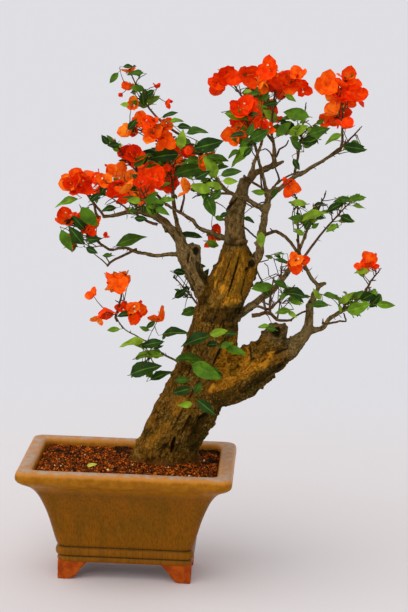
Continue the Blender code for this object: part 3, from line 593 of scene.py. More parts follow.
# Old wounds: middle x and z, tilt in degrees, half length, half width, depth, and how bare,
# dark and rimmed each is. The side is -1 for the front and 1 for the back.
# The dark share lays black into the sunken slits and hollows, painted shade there, and darkens a few shallow patches.
wounds = [
    (193, 590, 74, 60, 26, 3.6, 1.0, 0.0, 1.0, -1), (219, 580, 66, 44, 18, 1.2, 1.0, 0.0, 0.2, -1),
    (188, 590, 76, 46, 2.0, 6.0, 0.3, 0.9, 0.0, -1), (211, 578, 77, 34, 1.4, 3.6, 0.4, 0.75, 0.0, -1),
    (175, 600, 72, 26, 1.3, 2.4, 0.4, 0.8, 0.0, -1), (170, 513, 8, 42, 17, 1.4, 0.0, 0.62, 0.4, -1),
    (137, 548, 62, 24, 9, 1.0, 0.0, 0.50, 0.2, -1), (221, 612, 80, 8.5, 7.0, 4.5, 0.0, 0.85, 2.4, -1),
    (222, 628, 60, 6.0, 5.0, 2.5, 0.0, 0.7, 1.2, -1), (214, 602, 40, 5.0, 3.0, 2.0, 0.0, 0.7, 1.0, -1),
    (193, 434, 62, 56, 30, 3.4, 1.0, 0.0, 0.7, -1), (166, 446, 68, 30, 2.6, 5.0, 0.1, 0.9, 0.3, -1),
    (214, 404, 42, 30, 3.2, 5.5, 0.1, 1.0, 0.2, -1), (224, 446, 100, 20, 2.2, 4.0, 0.2, 0.8, 0.2, -1),
    (178, 383, 26, 38, 8.0, -3.0, 1.0, 0.0, 0.4, -1), (243, 426, 34, 36, 12, 3.6, 1.0, 0.0, 1.1, -1),
    (236, 423, 34, 26, 1.4, 3.0, 0.3, 0.8, 0.0, -1), (247, 398, 37, 56, 8, 0.6, 0.0, 0.65, 0.0, -1),
    (272, 483, 62, 12, 10.5, 8.0, 0.0, 1.0, 1.8, -1), (281, 449, 20, 15, 3.0, 3.0, 0.0, 0.8, 0.5, -1),
    (48, 268, 56, 28, 11, 0.5, 0.40, 0.0, 0.3, -1), (84, 258, 80, 17, 4.4, 6.0, 0.0, 1.0, 0.4, -1),
    (108, 300, 68, 24, 3.2, 3.4, 0.0, 0.85, 0.3, -1), (140, 318, 42, 13, 5.0, 4.0, 0.0, 0.9, 0.6, -1),
    (94, 336, 60, 24, 8.0, -1.2, 0.42, 0.0, 0.0, -1), (68, 290, 58, 20, 7.0, -1.0, 0.35, 0.0, 0.0, -1),
    (122, 372, 64, 28, 2.6, 3.0, 0.1, 0.8, 0.3, -1), (92, 310, 66, 30, 2.2, 2.6, 0.1, 0.7, 0.2, -1),
    (131, 300, 56, 26, 8.0, 0.4, 0.0, 0.55, 0.0, -1), (120, 268, 84, 24, 10, 0.4, 0.0, 0.60, 0.0, -1),
    (129, 590, 116, 26, 6.5, 2.2, 0.0, 0.80, 0.2, -1), (118, 632, 100, 9, 6.5, 5.0, 0.0, 1.0, 1.0, -1),
    (103, 618, 80, 12, 2.4, 2.4, 0.0, 0.9, 0.5, -1), (188, 690, 88, 26, 2.2, 0.9, 0.45, 0.2, 0.0, -1),
    (150, 430, 66, 46, 16, 3.4, 1.0, 0.0, 1.0, 1), (176, 560, 78, 34, 12, 3.0, 0.9, 0.0, 1.0, 1),
    (166, 500, 80, 40, 2.6, 5.0, 0.1, 1.0, 0.2, 1), (98, 300, 62, 30, 9, 3.0, 0.7, 0.2, 0.8, 1),
    (228, 412, 28, 24, 8, 3.0, 0.9, 0.0, 0.9, 1), (122, 365, 60, 11, 8, 5.0, 0.0, 1.0, 1.4, 1),
    (80, 255, 75, 18, 4, 5.0, 0.0, 1.0, 0.3, 1), (180, 610, 84, 22, 3, 3.0, 0.1, 0.9, 0.4, 1),
]
# Sawn stumps, with a flat end, and swellings: two or more of x, y, z, radius.
stumps = [
    [(197, -4, 706, 16), (180, -7, 720.5, 18)], [(112, -10, 588, 15), (110, -12, 616, 16.5), (111, -13, 641, 13)],
    [(250, -1, 789, 5.2), (264, -1, 796, 3.8), (273, -1, 801, 2.6)],
    [(343, -1, 566, 5.4), (353, -1, 574, 4.4), (360, -1, 576, 3.0)], [(172, 16, 600, 16), (176, 30, 612, 13)],
]
# Torn sheets of old wood that stand off the trunk: middle x and z, tilt, half length, width, lift.
flaps = [
    (203, 462, 58, 20, 26, 8.0), (222, 448, 40, 15, 18, 6.0), (194, 392, 26, 30, 15, 7.0),
    (170, 566, 62, 12, 13, 5.5), (184, 541, 12, 17, 14, 6.5), (166, 378, 30, 20, 10, 4.5),
    (162, 596, 74, 34, 8, 3.6), (228, 414, 34, 30, 9, 4.5),
]


def onSurface(tree, x, z, face):
    # where a straight line from the front or the back meets the wood
    return tree.ray_cast(Vector((x, 400.0 * face, z)), Vector((0, -face, 0)))[0]


def flapForm(tree, number, row):
    # a curled sheet with a torn edge, hinged on the wood along its lower side
    x, z, tilt, long, wide, lift = row
    turn = math.radians(tilt)
    steps, rows = wood["flapSteps"], wood["flapRows"]
    top = []
    for i in range(rows + 1):
        for j in range(steps + 1):
            v = 2 * j / steps - 1
            tear = 1 + 0.42 * noise.noise(Vector((v * 3.1, number * 7.7, 0.5)))
            tear += 0.2 * noise.noise(Vector((v * 9, number, 2)))
            u = i / rows * tear * math.sqrt(max(0.05, 1 - v * v * 0.85))
            along, across = v * long * (1 - 0.12 * i / rows), (u - 0.35) * wide
            place = onSurface(tree, x + along * math.cos(turn) - across * math.sin(turn),
                              z + along * math.sin(turn) + across * math.cos(turn), -1)
            if place is None:
                return None
            curl = 1 + 0.3 * noise.noise(Vector((v * 2.3, number * 3.1, 4)))
            away = -wood["flapSunk"] + lift * (i / rows) ** 1.4 * curl
            top.append(place + Vector((0, -away, 0)))
    low = [place + Vector((0, wood["flapThick"], 0)) for place in top]
    span = steps + 1
    faces = []
    for i in range(rows):
        for j in range(steps):
            a = i * span + j
            faces.append([a, a + 1, a + span + 1, a + span])
            faces.append([len(top) + k for k in (a, a + span, a + span + 1, a + 1)])
    edge = list(range(span)) + [i * span + steps for i in range(1, rows + 1)]
    edge += [rows * span + j for j in range(steps - 1, -1, -1)] + [i * span for i in range(rows - 1, 0, -1)]
    for a, b in zip(edge, edge[1:] + edge[:1]):
        faces.append([b, a, len(top) + a, len(top) + b])
    return [tuple(place) for place in top + low], faces


def trunkShell():
    route = trunkRoute(wood["trunkSteps"])
    foot = route[0][0].z
    low = route[0][0].copy()
    low.z -= wood["sink"]
    route = [(low, route[0][1] * 1.03, route[0][2] * 1.03)] + route
    ways = tangentsOf([point for point, _, _ in route])
    sides = wood["trunkSides"]
    points = []
    for (point, width, depth), way in zip(route, ways):
        height = max(0.0, point.z - foot)
        normal = Vector((0, 0, 1)).lerp(way, min(1.0, height / 110)).normalized()    # the lowest rings lie flat
        side = Vector((0, 1, 0)).cross(normal).normalized()
        back = normal.cross(side)
        for k in range(sides):
            turn = math.tau * k / sides
            swell = trunkSwell(turn, height)
            points.append(tuple(point + swell * (side * width * math.cos(turn) + back * depth * math.sin(turn))))
    faces = gridFaces(len(route), sides).tolist()
    return points, faces + [list(range(sides))[::-1], [(len(route) - 1) * sides + k for k in range(sides)]]


def limbShell(name, order):
    # one limb with crooks, a collar at its foot and swellings
    knots = limbs[name]
    footRadius = knots[0][3]
    route = smoothRoute(knots, wood["limbSteps"])
    run, fine = 0.0, []
    for i, (point, radius) in enumerate(route):
        if i:
            run += (point - route[i - 1][0]).length
        sway = wood["crook"] * min(radius, 7.0) * min(1.0, i / 5, (len(route) - 1 - i) / 3)
        seed = Vector((run / 17.0, order * 5.3, 0.7))
        crook = Vector([noise.noise(seed + Vector((0, away, 0))) for away in (0, 40, 80)])
        if footRadius < wood["stemlike"]:
            radius *= 1 + wood["collar"] * math.exp(-(run / (wood["collarReach"] * footRadius)) ** 2 * 1.4)
            radius *= 1 + 0.22 * max(0.0, noise.noise(Vector((run / 9.0, order * 3.1, 5.0))))
            slim = wood["slimmer"].get(name, wood["slim"])
            full = min(1.0, max(0.0, (radius - wood["slimUnder"]) / (wood["fullOver"] - wood["slimUnder"])))
            radius = max(wood["thinnest"], radius * (slim + (1 - slim) * full))
        fine.append((point + crook * (2.0 * sway), radius))
    return tube(fine, 32 if footRadius > 12 else 16, 0.1 if name == "stub_right" else 0.6)


def woodShells():
    # the plain closed forms that the skin is drawn over
    forms = [trunkShell()] + [limbShell(name, order) for order, name in enumerate(limbs)]
    for knots in stumps:
        forms.append(tube([(Vector(knot[:3]), knot[3]) for knot in knots], 24, 0.0 if knots[0][3] > 8 else 0.5))
    points, faces = merged(forms)
    tree = BVHTree.FromPolygons([Vector(point) for point in points], faces)
    sheets = [flapForm(tree, number, row) for number, row in enumerate(flaps)]
    sheets = [sheet for sheet in sheets if sheet]
    torn = [point for sheet in sheets for point in sheet[0][:len(sheet[0]) // 2]]
    return [(points, faces)] + sheets, torn


def nearestOn(route, places):
    # for each point: distance to the route, radius there, and two offsets across it with the length run
    spots = np.array([tuple(point) for point, _ in route])
    radii = np.array([radius for _, radius in route])
    ways = tangentsOf([point for point, _ in route])
    side = ways[0].orthogonal().normalized()
    sides = [side.copy()]
    for before, after in zip(ways, ways[1:]):
        side.rotate(before.rotation_difference(after))
        sides.append(side.copy())
    sides = np.array([tuple(one) for one in sides])
    ups = np.cross(np.array([tuple(way) for way in ways]), sides)
    runs = spots[1:] - spots[:-1]
    lengths = np.linalg.norm(runs, axis=1)
    begun = np.concatenate([[0], np.cumsum(lengths)])
    best = np.full(len(places), 1e9)
    pick = np.zeros(len(places), int)
    along = np.zeros(len(places))
    for i in range(len(runs)):
        t = np.clip((places - spots[i]) @ runs[i] / lengths[i] ** 2, 0, 1)
        gap = np.linalg.norm(places - spots[i] - t[:, None] * runs[i], axis=1)
        nearer = gap < best
        best[nearer], pick[nearer], along[nearer] = gap[nearer], i, t[nearer]
    t = along[:, None]
    offset = places - spots[pick] - t * runs[pick]
    u = (offset * (sides[pick] * (1 - t) + sides[pick + 1] * t)).sum(axis=1)
    v = (offset * (ups[pick] * (1 - t) + ups[pick + 1] * t)).sum(axis=1)
    run = begun[pick] + along * lengths[pick]
    return best, radii[pick] * (1 - along) + radii[pick + 1] * along, np.stack([u, v, run], axis=1)


def barkRelief(grain, size, radius):
    # scales and cracks in millimetres, and how deep in a crack each point lies
    strength = np.clip(radius / 30, 0.17, 1.0)
    rows = (grain / (size, size, size * 1.5)).tolist()
    found = [noise.voronoi(row) for row in rows]
    gap = np.array([far[1] - far[0] for far, _ in found])
    chip = np.array([math.sin(spots[0].x * 12.9 + spots[0].y * 78.2 + spots[0].z * 37.7) for _, spots in found])
    edge = 1 - smoothStep(0.0, 0.13, gap)
    line = np.abs(grainNoise(grain, (size * 1.3, size * 1.3, size * 3.1), 3.3))
    crack = (1 - smoothStep(0.01, 0.13, line)) * smoothStep(-0.15, 0.25, grainNoise(grain, size * 5.0, 6.1))
    lumps = grainNoise(grain, (size * 1.7, size * 1.7, size * 2.6), 14.2)
    fine = grainNoise(grain, size * 0.34, 22.0)
    relief = strength * (0.75 * chip + 1.5 * lumps - 0.9 * edge - 2.3 * crack) + 0.22 * fine
    return relief, np.clip(0.45 * edge + crack, 0, 1)


def limbFields(places):
    # what each point takes from the limbs near it: its owner, its crease, and the bark's grain and relief
    count = len(places)
    total, best, relief, crack, thick = (np.zeros(count) for _ in range(5))
    first, second = np.full(count, 1e9), np.full(count, 1e9)
    owner = np.zeros(count, int)
    grain = np.zeros((count, 3))
    for order, name in enumerate(["trunk", *limbs]):
        if name == "trunk":
            route = [(point, (width + depth) / 2) for point, width, depth in trunkRoute(4)]
        else:
            route = smoothRoute(limbs[name], 4)
        spots = np.array([tuple(point) for point, _ in route])
        room = max(radius for _, radius in route) * 1.4 + 26
        near = np.flatnonzero(((places > spots.min(0) - room) & (places < spots.max(0) + room)).all(axis=1))
        gap, radius, own = nearestOn(route, places[near])
        apart = np.maximum(gap - radius * (1.0 if name != "trunk" else 1.08), 0)
        apart[own[:, 2] <= 0] += 4
        second[near] = np.minimum(second[near], np.maximum(first[near], apart))
        first[near] = np.minimum(first[near], apart)
        weight = np.exp(-(apart / (3.5 + 0.12 * radius)) ** 2)
        use = weight > 0.01
        near, weight, radius = near[use], weight[use], radius[use]
        own = own[use] + order * 61.0
        lift, dark = barkRelief(own, wood["grain"].get(name, wood["thinGrain"]), radius)
        stronger = weight > best[near]
        owner[near[stronger]] = order
        best[near] = np.maximum(best[near], weight)
        total[near] += weight
        relief[near] += weight * lift
        crack[near] += weight * dark
        thick[near] += weight * radius
        grain[near] += weight[:, None] * own
    total = np.maximum(total, 1e-6)
    crease = np.exp(-(second / wood["filletReach"]) ** 2)
    return owner, crease, grain / total[:, None], relief / total, crack / total, thick / total


def looseShare(places, torn):
    # how far each point belongs to a torn sheet
    tree = KDTree(len(torn))
    for index, spot in enumerate(torn):
        tree.insert(spot, index)
    tree.balance()
    x, y, z = places.T
    near = np.flatnonzero((y < 0) & (z > wood["tornLow"]) & (z < wood["tornHigh"]) & (x > wood["tornFrom"]))
    loose = np.zeros(len(places))
    loose[near] = 1 - smoothStep(1.2, 3.8, np.array([tree.find(row)[2] for row in places[near].tolist()]))
    return loose


def woundFields(places, normals):
    # how far the old wounds and the sawn ends sink or stand up, and where they are bare or black
    change, bare, black = (np.zeros(len(places)) for _ in range(3))
    ragged = grainNoise(places, 12.0, 31.0) * 0.22 + grainNoise(places, 4.6, 37.0) * 0.15
    for x, z, tilt, long, wide, depth, bareness, darkness, rim, face in wounds:
        turn = math.radians(tilt)
        du = (places[:, 0] - x) * math.cos(turn) + (places[:, 2] - z) * math.sin(turn)
        dv = (places[:, 2] - z) * math.cos(turn) - (places[:, 0] - x) * math.sin(turn)
        near = np.sqrt((du / long) ** 2 + (dv / wide) ** 2) + ragged * (0.5 + 0.7 * wide / (wide + 8))
        facing = smoothStep(0.0, 0.3, normals[:, 1] * face)
        inside = (1 - smoothStep(0.84, 1.0, near)) * facing
        lip = np.exp(-((near - 1.1) / 0.11) ** 2) * facing
        change += -depth * inside * (1 - 0.35 * np.clip(near, 0, 1) ** 2) + rim * 1.7 * lip
        bare = np.maximum(bare * (1 - inside * (1 - bareness)), inside * bareness)
        # painted shade: black laid into the sunken slits and hollows
        black = np.maximum(black, inside * darkness)
    for knots in (stumps[0], stumps[4]):
        radius = knots[-1][3]
        middle, way = np.array(knots[-1][:3]), unit(np.array(knots[-1][:3], float) - np.array(knots[-2][:3]))
        ahead = (places - middle) @ way
        radial = np.linalg.norm(places - middle - ahead[:, None] * way, axis=1)
        face = (np.abs(ahead) < 2.4) * smoothStep(radius - 0.6, radius - 3.0, radial)
        change -= 1.6 * face
        black = np.maximum(black, 0.93 * face)
    return change, bare, black


def buildWood():
    forms, torn = woodShells()
    piece = joined("wholeWood", forms, [])
    mesh = remeshed(piece, wood["voxel"])
    places = placesOf(mesh)
    owner, crease, grain, relief, crack, thick = limbFields(places)
    loose = looseShare(places, torn)
    places = relax(mesh, places, (0.55 * crease + 0.06) * (1 - 0.9 * loose), wood["filletRounds"])
    setPlaces(mesh, places)
    normals = normalsOf(mesh)
    x, y, z = places.T
    change, bare, black = woundFields(places, normals)

    # bare wood lies in layers with dark steps between them
    layers = grainNoise(places, (21.0, 21.0, 15.0), 81.0) * 2.5 + grainNoise(places, 6.0, 85.0) * 0.6
    plies = np.floor(layers)
    layered = np.maximum(bare, loose) * smoothStep(*wood["plyTop"], z) * smoothStep(*wood["plySide"], x) * (y < 0)
    change += layered * ((plies % 3) * wood["plyStep"] - 2.4)
    black = np.maximum(black * (1 - loose), 0.85 * layered * (1 - smoothStep(0.07, 0.17, layers - plies)))
    bare = np.maximum(bare, loose)
    change *= 1 - 0.6 * loose
    splinters = grainNoise(grain, (2.6, 2.6, 42.0), 50.0) * 1.0 + grainNoise(grain, (1.6, 1.6, 12.0), 60.0) * 0.5
    relief = relief * (1 - bare * 0.9) + splinters * bare * (1 - 0.5 * loose)

    big = smoothStep(12, 34, thick)
    lumps = grainNoise(places, 30.0, 4.0) * 2.0 + grainNoise(places, 13.0, 7.0) * 1.3
    knobs = np.maximum(0, grainNoise(places, 11.0, 21.0) - 0.30) * 10.0 * np.clip(thick / 14, 0.18, 1.0)
    across = x - wood["ringMiddle"]
    level = wood["ringScar"] + 5.0 * grainNoise(places, 18.0, 71.0) - 0.10 * across
    upper = (np.abs(across) < wood["ringHalf"]) * (np.abs(y) < wood["ringHalf"])
    band = np.exp(-((z - level) / 3.2) ** 2) * upper
    groove = np.exp(-((z - level + 6.4) / 2.2) ** 2) * upper
    lift = relief + big * lumps + knobs * (1 - bare) + change + 3.2 * band - 1.8 * groove
    lift *= 1 - 0.6 * smoothStep(226, 216, z)
    # painted shade: darker on the undersides and on the right-hand side of the thicker limbs, with the look of moss
    mossAndShade = smoothStep(0.05, -0.75, normals[:, 2]) + 0.75 * smoothStep(0.15, 0.8, normals[:, 0]) * big
    places = places + normals * lift[:, None]
    marks = {"crack": crack * (1 - bare) + 0.8 * groove, "bare": bare, "black": black, "thick": thick / 45,
             "mossAndShade": mossAndShade, "loose": loose}
    marks = {"grain": grain, **{mark: np.clip(values, 0, 1) for mark, values in marks.items()}}
    corners = np.empty(len(mesh.loops), np.int32)
    mesh.loops.foreach_get("vertex_index", corners)
    corners = corners.reshape(-1, 4)
    finish = barkFinish()
    made = []
    for name, chosen in (("barkedTrunk", owner == 0), ("barkedBoughs", owner != 0)):
        used, faces = np.unique(corners[chosen[corners[:, 0]]], return_inverse=True)
        part = makePiece(name, places[used], faces.reshape(-1, 4), [finish])
        for mark, values in marks.items():
            markPoints(part.data, mark, values[used])
        made.append(part)
    bpy.data.objects.remove(piece)
    return made


barkTones = {
    "furrow": (0.044, 0.020, 0.0016), "plate": (0.215, 0.104, 0.0090), "russet": (0.260, 0.098, 0.0070),
    "tan": (0.300, 0.170, 0.0240), "umber": (0.022, 0.014, 0.0018), "fleck": (0.420, 0.245, 0.060),
    "pit": (0.020, 0.011, 0.0016), "skinDeep": (0.092, 0.056, 0.0130), "skinPale": (0.300, 0.215, 0.0930),
    # mossyShade: painted shade with the look of moss, for the undersides and the right-hand side
    "skinSpot": (0.055, 0.032, 0.0080), "mossyShade": (0.026, 0.024, 0.0030), "stain": (0.018, 0.011, 0.0014),
    "scale": (0.460, 0.262, 0.075), "crack": (0.010, 0.006, 0.0014), "ochreDeep": (0.150, 0.055, 0.0025),
    "ochre": (0.420, 0.185, 0.0110), "decay": (0.075, 0.032, 0.0030), "brown": (0.230, 0.112, 0.0060),
    "gold": (0.660, 0.290, 0.0280), "orange": (0.680, 0.262, 0.0120), "aged": (0.165, 0.085, 0.0060),
    # torn: fresh torn wood with a painted highlight, for the sheets that stand off the trunk
    "hollow": (0.070, 0.030, 0.0025), "torn": (0.760, 0.310, 0.0220), "black": (0.007, 0.005, 0.0015),
    "soilStain": (0.105, 0.032, 0.0060),
}


def barkFinish():
    # scaly brown bark, bare ochre wood in the wounds, paler skin on the boughs
    tone = barkTones
    bark = Finish("scalyBark", Roughness=0.9, Specular_IOR_Level=0.04)
    grain = bark.mark("grain", 1)
    bare, crack, black, thick, mossAndShade, loose = map(bark.mark, ("bare", "crack", "black", "thick", "mossAndShade", "loose"))
    spot = bark.place()
    height = bark.height(spot)
    plates = bark.noise(bark.stretched(grain, (1.0, 1.0, 0.4)), 5.0, 4.0, 0.65)
    broad = bark.noise(spot, 36.0, 3.0, 0.6)
    middling = bark.noise(spot, 15.0, 4.0, 0.65)
    specks = bark.noise(spot, 2.6, 3.0, 0.72)
    pits = bark.noise(spot, 4.4, 3.0, 0.7)
    blots = bark.noise(bark.place((1.0, 1.0, 0.7)), 21.0, 5.0, 0.7)
    flakes = bark.noise(bark.place((1.0, 1.0, 0.6)), 3.4, 2.0, 0.6)
    streaks = bark.noise(bark.stretched(grain, (1.0, 1.0, 0.05)), 2.2, 3.0, 0.6)
    decay = bark.noise(bark.stretched(grain, (1.0, 1.0, 0.45)), 9.0, 4.0, 0.65)

    pale = bark.mix(bark.span(plates, 0.32, 0.68), tone["skinDeep"], tone["skinPale"])
    pale = bark.layers(pale, (specks, 0.46, 0.32, 0.6, tone["skinSpot"]))
    body = bark.mix(bark.span(plates, 0.34, 0.68), tone["furrow"], tone["plate"])
    body = bark.layers(
        body,
        (broad, 0.44, 0.62, 0.6, tone["russet"]),
        (middling, 0.54, 0.70, 0.62, tone["tan"]),
        (middling, 0.45, 0.30, 0.7, tone["umber"]),
        (specks, 0.55, 0.70, 0.75, tone["fleck"]),
        (pits, 0.44, 0.34, 0.85, tone["pit"]),
        (thick, 0.62, 0.28, 0.85, pale))
    # painted shade with the look of moss, laid on the undersides and the right-hand side
    mossyShade = mossAndShade * bark.span(middling, 0.36, 0.60, 0.25, 0.9)
    stained = bark.span(blots, 0.55, 0.64, 0.0, 0.72) * bark.span(thick, 0.15, 0.45)
    scaling = bark.span(flakes, 0.56, 0.66, 0.0, 0.55) * bark.span(blots, 0.56, 0.46)
    body = bark.mix(mossyShade, body, tone["mossyShade"])
    body = bark.mix(stained, body, tone["stain"])
    body = bark.mix(scaling, body, tone["scale"])
    body = bark.mix(crack * 0.86, body, tone["crack"])

    ochre = bark.mix(bark.span(streaks, 0.32, 0.66), tone["ochreDeep"], tone["ochre"])
    ochre = bark.layers(
        ochre,
        (decay, 0.50, 0.62, 0.85, tone["decay"]),
        (middling, 0.50, 0.62, 0.7, tone["brown"]),
        (specks, 0.55, 0.68, 0.6, tone["gold"]),
        (height, 496.0, 474.0, 0.42, tone["orange"]),
        (blots, 0.48, 0.58, 0.75, tone["aged"]),
        (flakes, 0.44, 0.34, 0.75, tone["hollow"]))
    # the sheets that stand off the trunk take the brightest tone: fresh torn wood, with a painted highlight on them
    ochre = bark.mix(loose * bark.span(decay, 0.58, 0.40, 0.05, 0.75), ochre, tone["torn"])
    body = bark.mix(bare, body, ochre)
    body = bark.mix(black * 0.94, body, tone["black"])
    soilLine = bark.span(height + (broad - 0.5) * 26.0, 218.0, 238.0, 0.75, 0.0)
    body = bark.mix(soilLine, body, tone["soilStain"])
    relief = bark.bump(plates * 0.7 + specks * 0.6, 1.3, 0.85)
    lines = bark.bump(streaks * bare, 0.9, 0.8, relief)
    return bark.wear(Base_Color=body, Roughness=bark.span(bare, 0.0, 1.0, 0.92, 0.74), Normal=lines)


barkedTrunk, barkedBoughs = buildWood()
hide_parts("trunk")
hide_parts(*limbs)
for piece in (barkedTrunk, barkedBoughs):
    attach(piece, "root")
print("wood made:", len(barkedTrunk.data.polygons) + len(barkedBoughs.data.polygons), "faces")


# Soil
soil = {
    "top": 219.0, "edge": 214.2, "inset": 30.2, "rings": 46,
    "grains": 9400, "smallest": 0.7, "largest": 2.8, "seed": 5,
    "tones": [((0.290, 0.052, 0.0030), 0.42), ((0.150, 0.026, 0.0025), 0.24), ((0.012, 0.009, 0.002), 0.15),
              ((0.68, 0.150, 0.0080), 0.15), ((0.85, 0.62, 0.26), 0.016)],      # grit, with their shares
    "earth": ((0.014, 0.006, 0.002), (0.135, 0.030, 0.0040)),
    # middle x, y and half sizes of the dark clumps, and of the ground that the trunk covers
    "moss": [(-20, 84, 19, 30), (6, 46, 14, 20), (124, 92, 26, 26), (160, 98, 13, 20), (118, 34, 16, 20),
             (158, 30, 12, 16), (-142, 46, 16, 10), (-118, 28, 18, 9), (-62, -6, 9, 8), (-150, -92, 34, 8)],
    "trunk": (66, 24, 62, 45),
    # patches where the grit turns dark or bright: the noise level and the tone taken there
    "patches": [(-0.40, 2), (-0.18, 1)], "brightPatch": (0.46, 3),
}
halfSoil = [pot[side] / 2 - soil["inset"] for side in ("length", "depth")]


def onGround(x, y):
    return np.stack([x, y, np.zeros_like(x)], axis=1)


def mossy(x, y):
    # how far a place lies inside the dark clumps beside the trunk
    best = np.zeros_like(x)
    ragged = 0.35 * grainNoise(onGround(x, y), 9.0, 17.0)
    for middleX, middleY, halfX, halfY in soil["moss"]:
        away = np.hypot((x - middleX) / halfX, (y - middleY) / halfY) + ragged
        best = np.maximum(best, 1 - smoothStep(0.6, 1.05, away))
    return best


def soilHeight(x, y):
    # level round the trunk, a little lower at the walls, with crumbs and hollows
    inX = np.clip((halfSoil[0] - np.abs(x)) / 30, 0, 1)
    inY = np.clip((halfSoil[1] - np.abs(y)) / 30, 0, 1)
    flat = onGround(x, y)
    rough = grainNoise(flat, 34.0, 2.0) * 1.2 + grainNoise(flat, 11.0, 6.0) * 0.9 + grainNoise(flat, 4.0, 9.0) * 0.5
    return soil["edge"] + (soil["top"] - soil["edge"]) * np.minimum(inX, inY) - 0.9 + 0.6 * rough + 1.4 * mossy(x, y)


def buildSoil():
    edge = potRing(soil["inset"] - 1.2, 12.0)
    shares = np.linspace(0, 1, soil["rings"])[:, None, None]
    places = (edge[None] * (1 - shares * 0.995)).reshape(-1, 3)
    places[:, 2] = soilHeight(places[:, 0], places[:, 1])
    faces = gridFaces(soil["rings"], len(edge)).tolist()
    low = (soil["rings"] - 1) * len(edge)
    faces.append([low + k for k in range(len(edge))])
    earth = Finish("darkEarth", Roughness=0.95, Specular_IOR_Level=0.05)
    crumbs = earth.noise(earth.place(), 2.4, 4.0, 0.7)
    body = earth.mix(earth.span(crumbs, 0.36, 0.66), *soil["earth"])
    earth.wear(Base_Color=body, Normal=earth.bump(crumbs, 1.6, 0.9))
    return makePiece("soilBed", places, faces, [earth.material])


def pebbleForm():
    # a twenty-sided lump
    form = bmesh.new()
    bmesh.ops.create_icosphere(form, subdivisions=1, radius=1.0)
    points = np.array([tuple(vert.co) for vert in form.verts])
    faces = np.array([[vert.index for vert in face.verts] for face in form.faces])
    form.free()
    return points, faces


def grainFinish(name, tone):
    grit = Finish(name, Roughness=0.93, Specular_IOR_Level=0.08)
    shade = grit.noise(grit.place(), 5.0, 3.0, 0.7)
    darker = tuple(0.55 * k for k in tone)
    lighter = tuple(min(1.0, 1.3 * k) for k in tone)
    return grit.wear(Base_Color=grit.mix(grit.span(shade, 0.34, 0.66), darker, lighter))


def buildGrains():
    draw = np.random.default_rng(soil["seed"])
    form, faces = pebbleForm()
    count = soil["grains"]
    x, y = (draw.uniform(1.5 - half, half - 1.5, count * 2) for half in halfSoil)
    middleX, middleY, halfX, halfY = soil["trunk"]
    keep = ((x - middleX) / halfX) ** 2 + ((y - middleY) / halfY) ** 2 >= 1
    x, y = x[keep][:count], y[keep][:count]
    count = len(x)
    size = soil["smallest"] + (soil["largest"] - soil["smallest"]) * draw.random(count) ** 3.0
    middle = np.stack([x, y, soilHeight(x, y) + size * draw.uniform(-0.2, 0.4, count)], axis=1)
    turn = unit(draw.normal(size=(count, 4)))
    w, a, b, c = turn.T
    spin = np.stack([
        np.stack([1 - 2 * (b * b + c * c), 2 * (a * b - c * w), 2 * (a * c + b * w)], axis=1),
        np.stack([2 * (a * b + c * w), 1 - 2 * (a * a + c * c), 2 * (b * c - a * w)], axis=1),
        np.stack([2 * (a * c - b * w), 2 * (b * c + a * w), 1 - 2 * (a * a + b * b)], axis=1)], axis=1)
    shape = form[None] * draw.uniform(0.6, 1.15, (count, 1, 3)) * draw.uniform(0.82, 1.18, (count, len(form), 1))
    points = middle[:, None] + np.einsum("nij,nkj->nki", spin, shape) * size[:, None, None]
    every = faces[None] + np.arange(count)[:, None, None] * len(form)
    shares = np.array([share for _, share in soil["tones"]])
    tone = draw.choice(len(shares), count, p=shares / shares.sum())
    patch = grainNoise(onGround(x, y), 13.0, 23.0) + 0.7 * grainNoise(onGround(x, y), 4.5, 29.0)
    for level, darker in soil["patches"]:
        tone[(patch < level) & (tone < darker)] = darker
    level, brighter = soil["brightPatch"]
    tone[(patch > level) & (tone < 2)] = brighter
    clump = mossy(x, y) > draw.uniform(0.1, 0.7, count)
    tone[clump] = np.where(draw.random(clump.sum()) < 0.8, 2, 1)
    finishes = [grainFinish("grit" + str(k), colour) for k, (colour, _) in enumerate(soil["tones"])]
    return makePiece("soilGrit", points.reshape(-1, 3), every.reshape(-1, 3), finishes,
                     np.repeat(tone, len(faces)), smooth=False)


soilBed = buildSoil()
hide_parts("soil")
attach(soilBed, "root")
soilGrit = buildGrains()
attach(soilGrit, "root")
print("soil made")


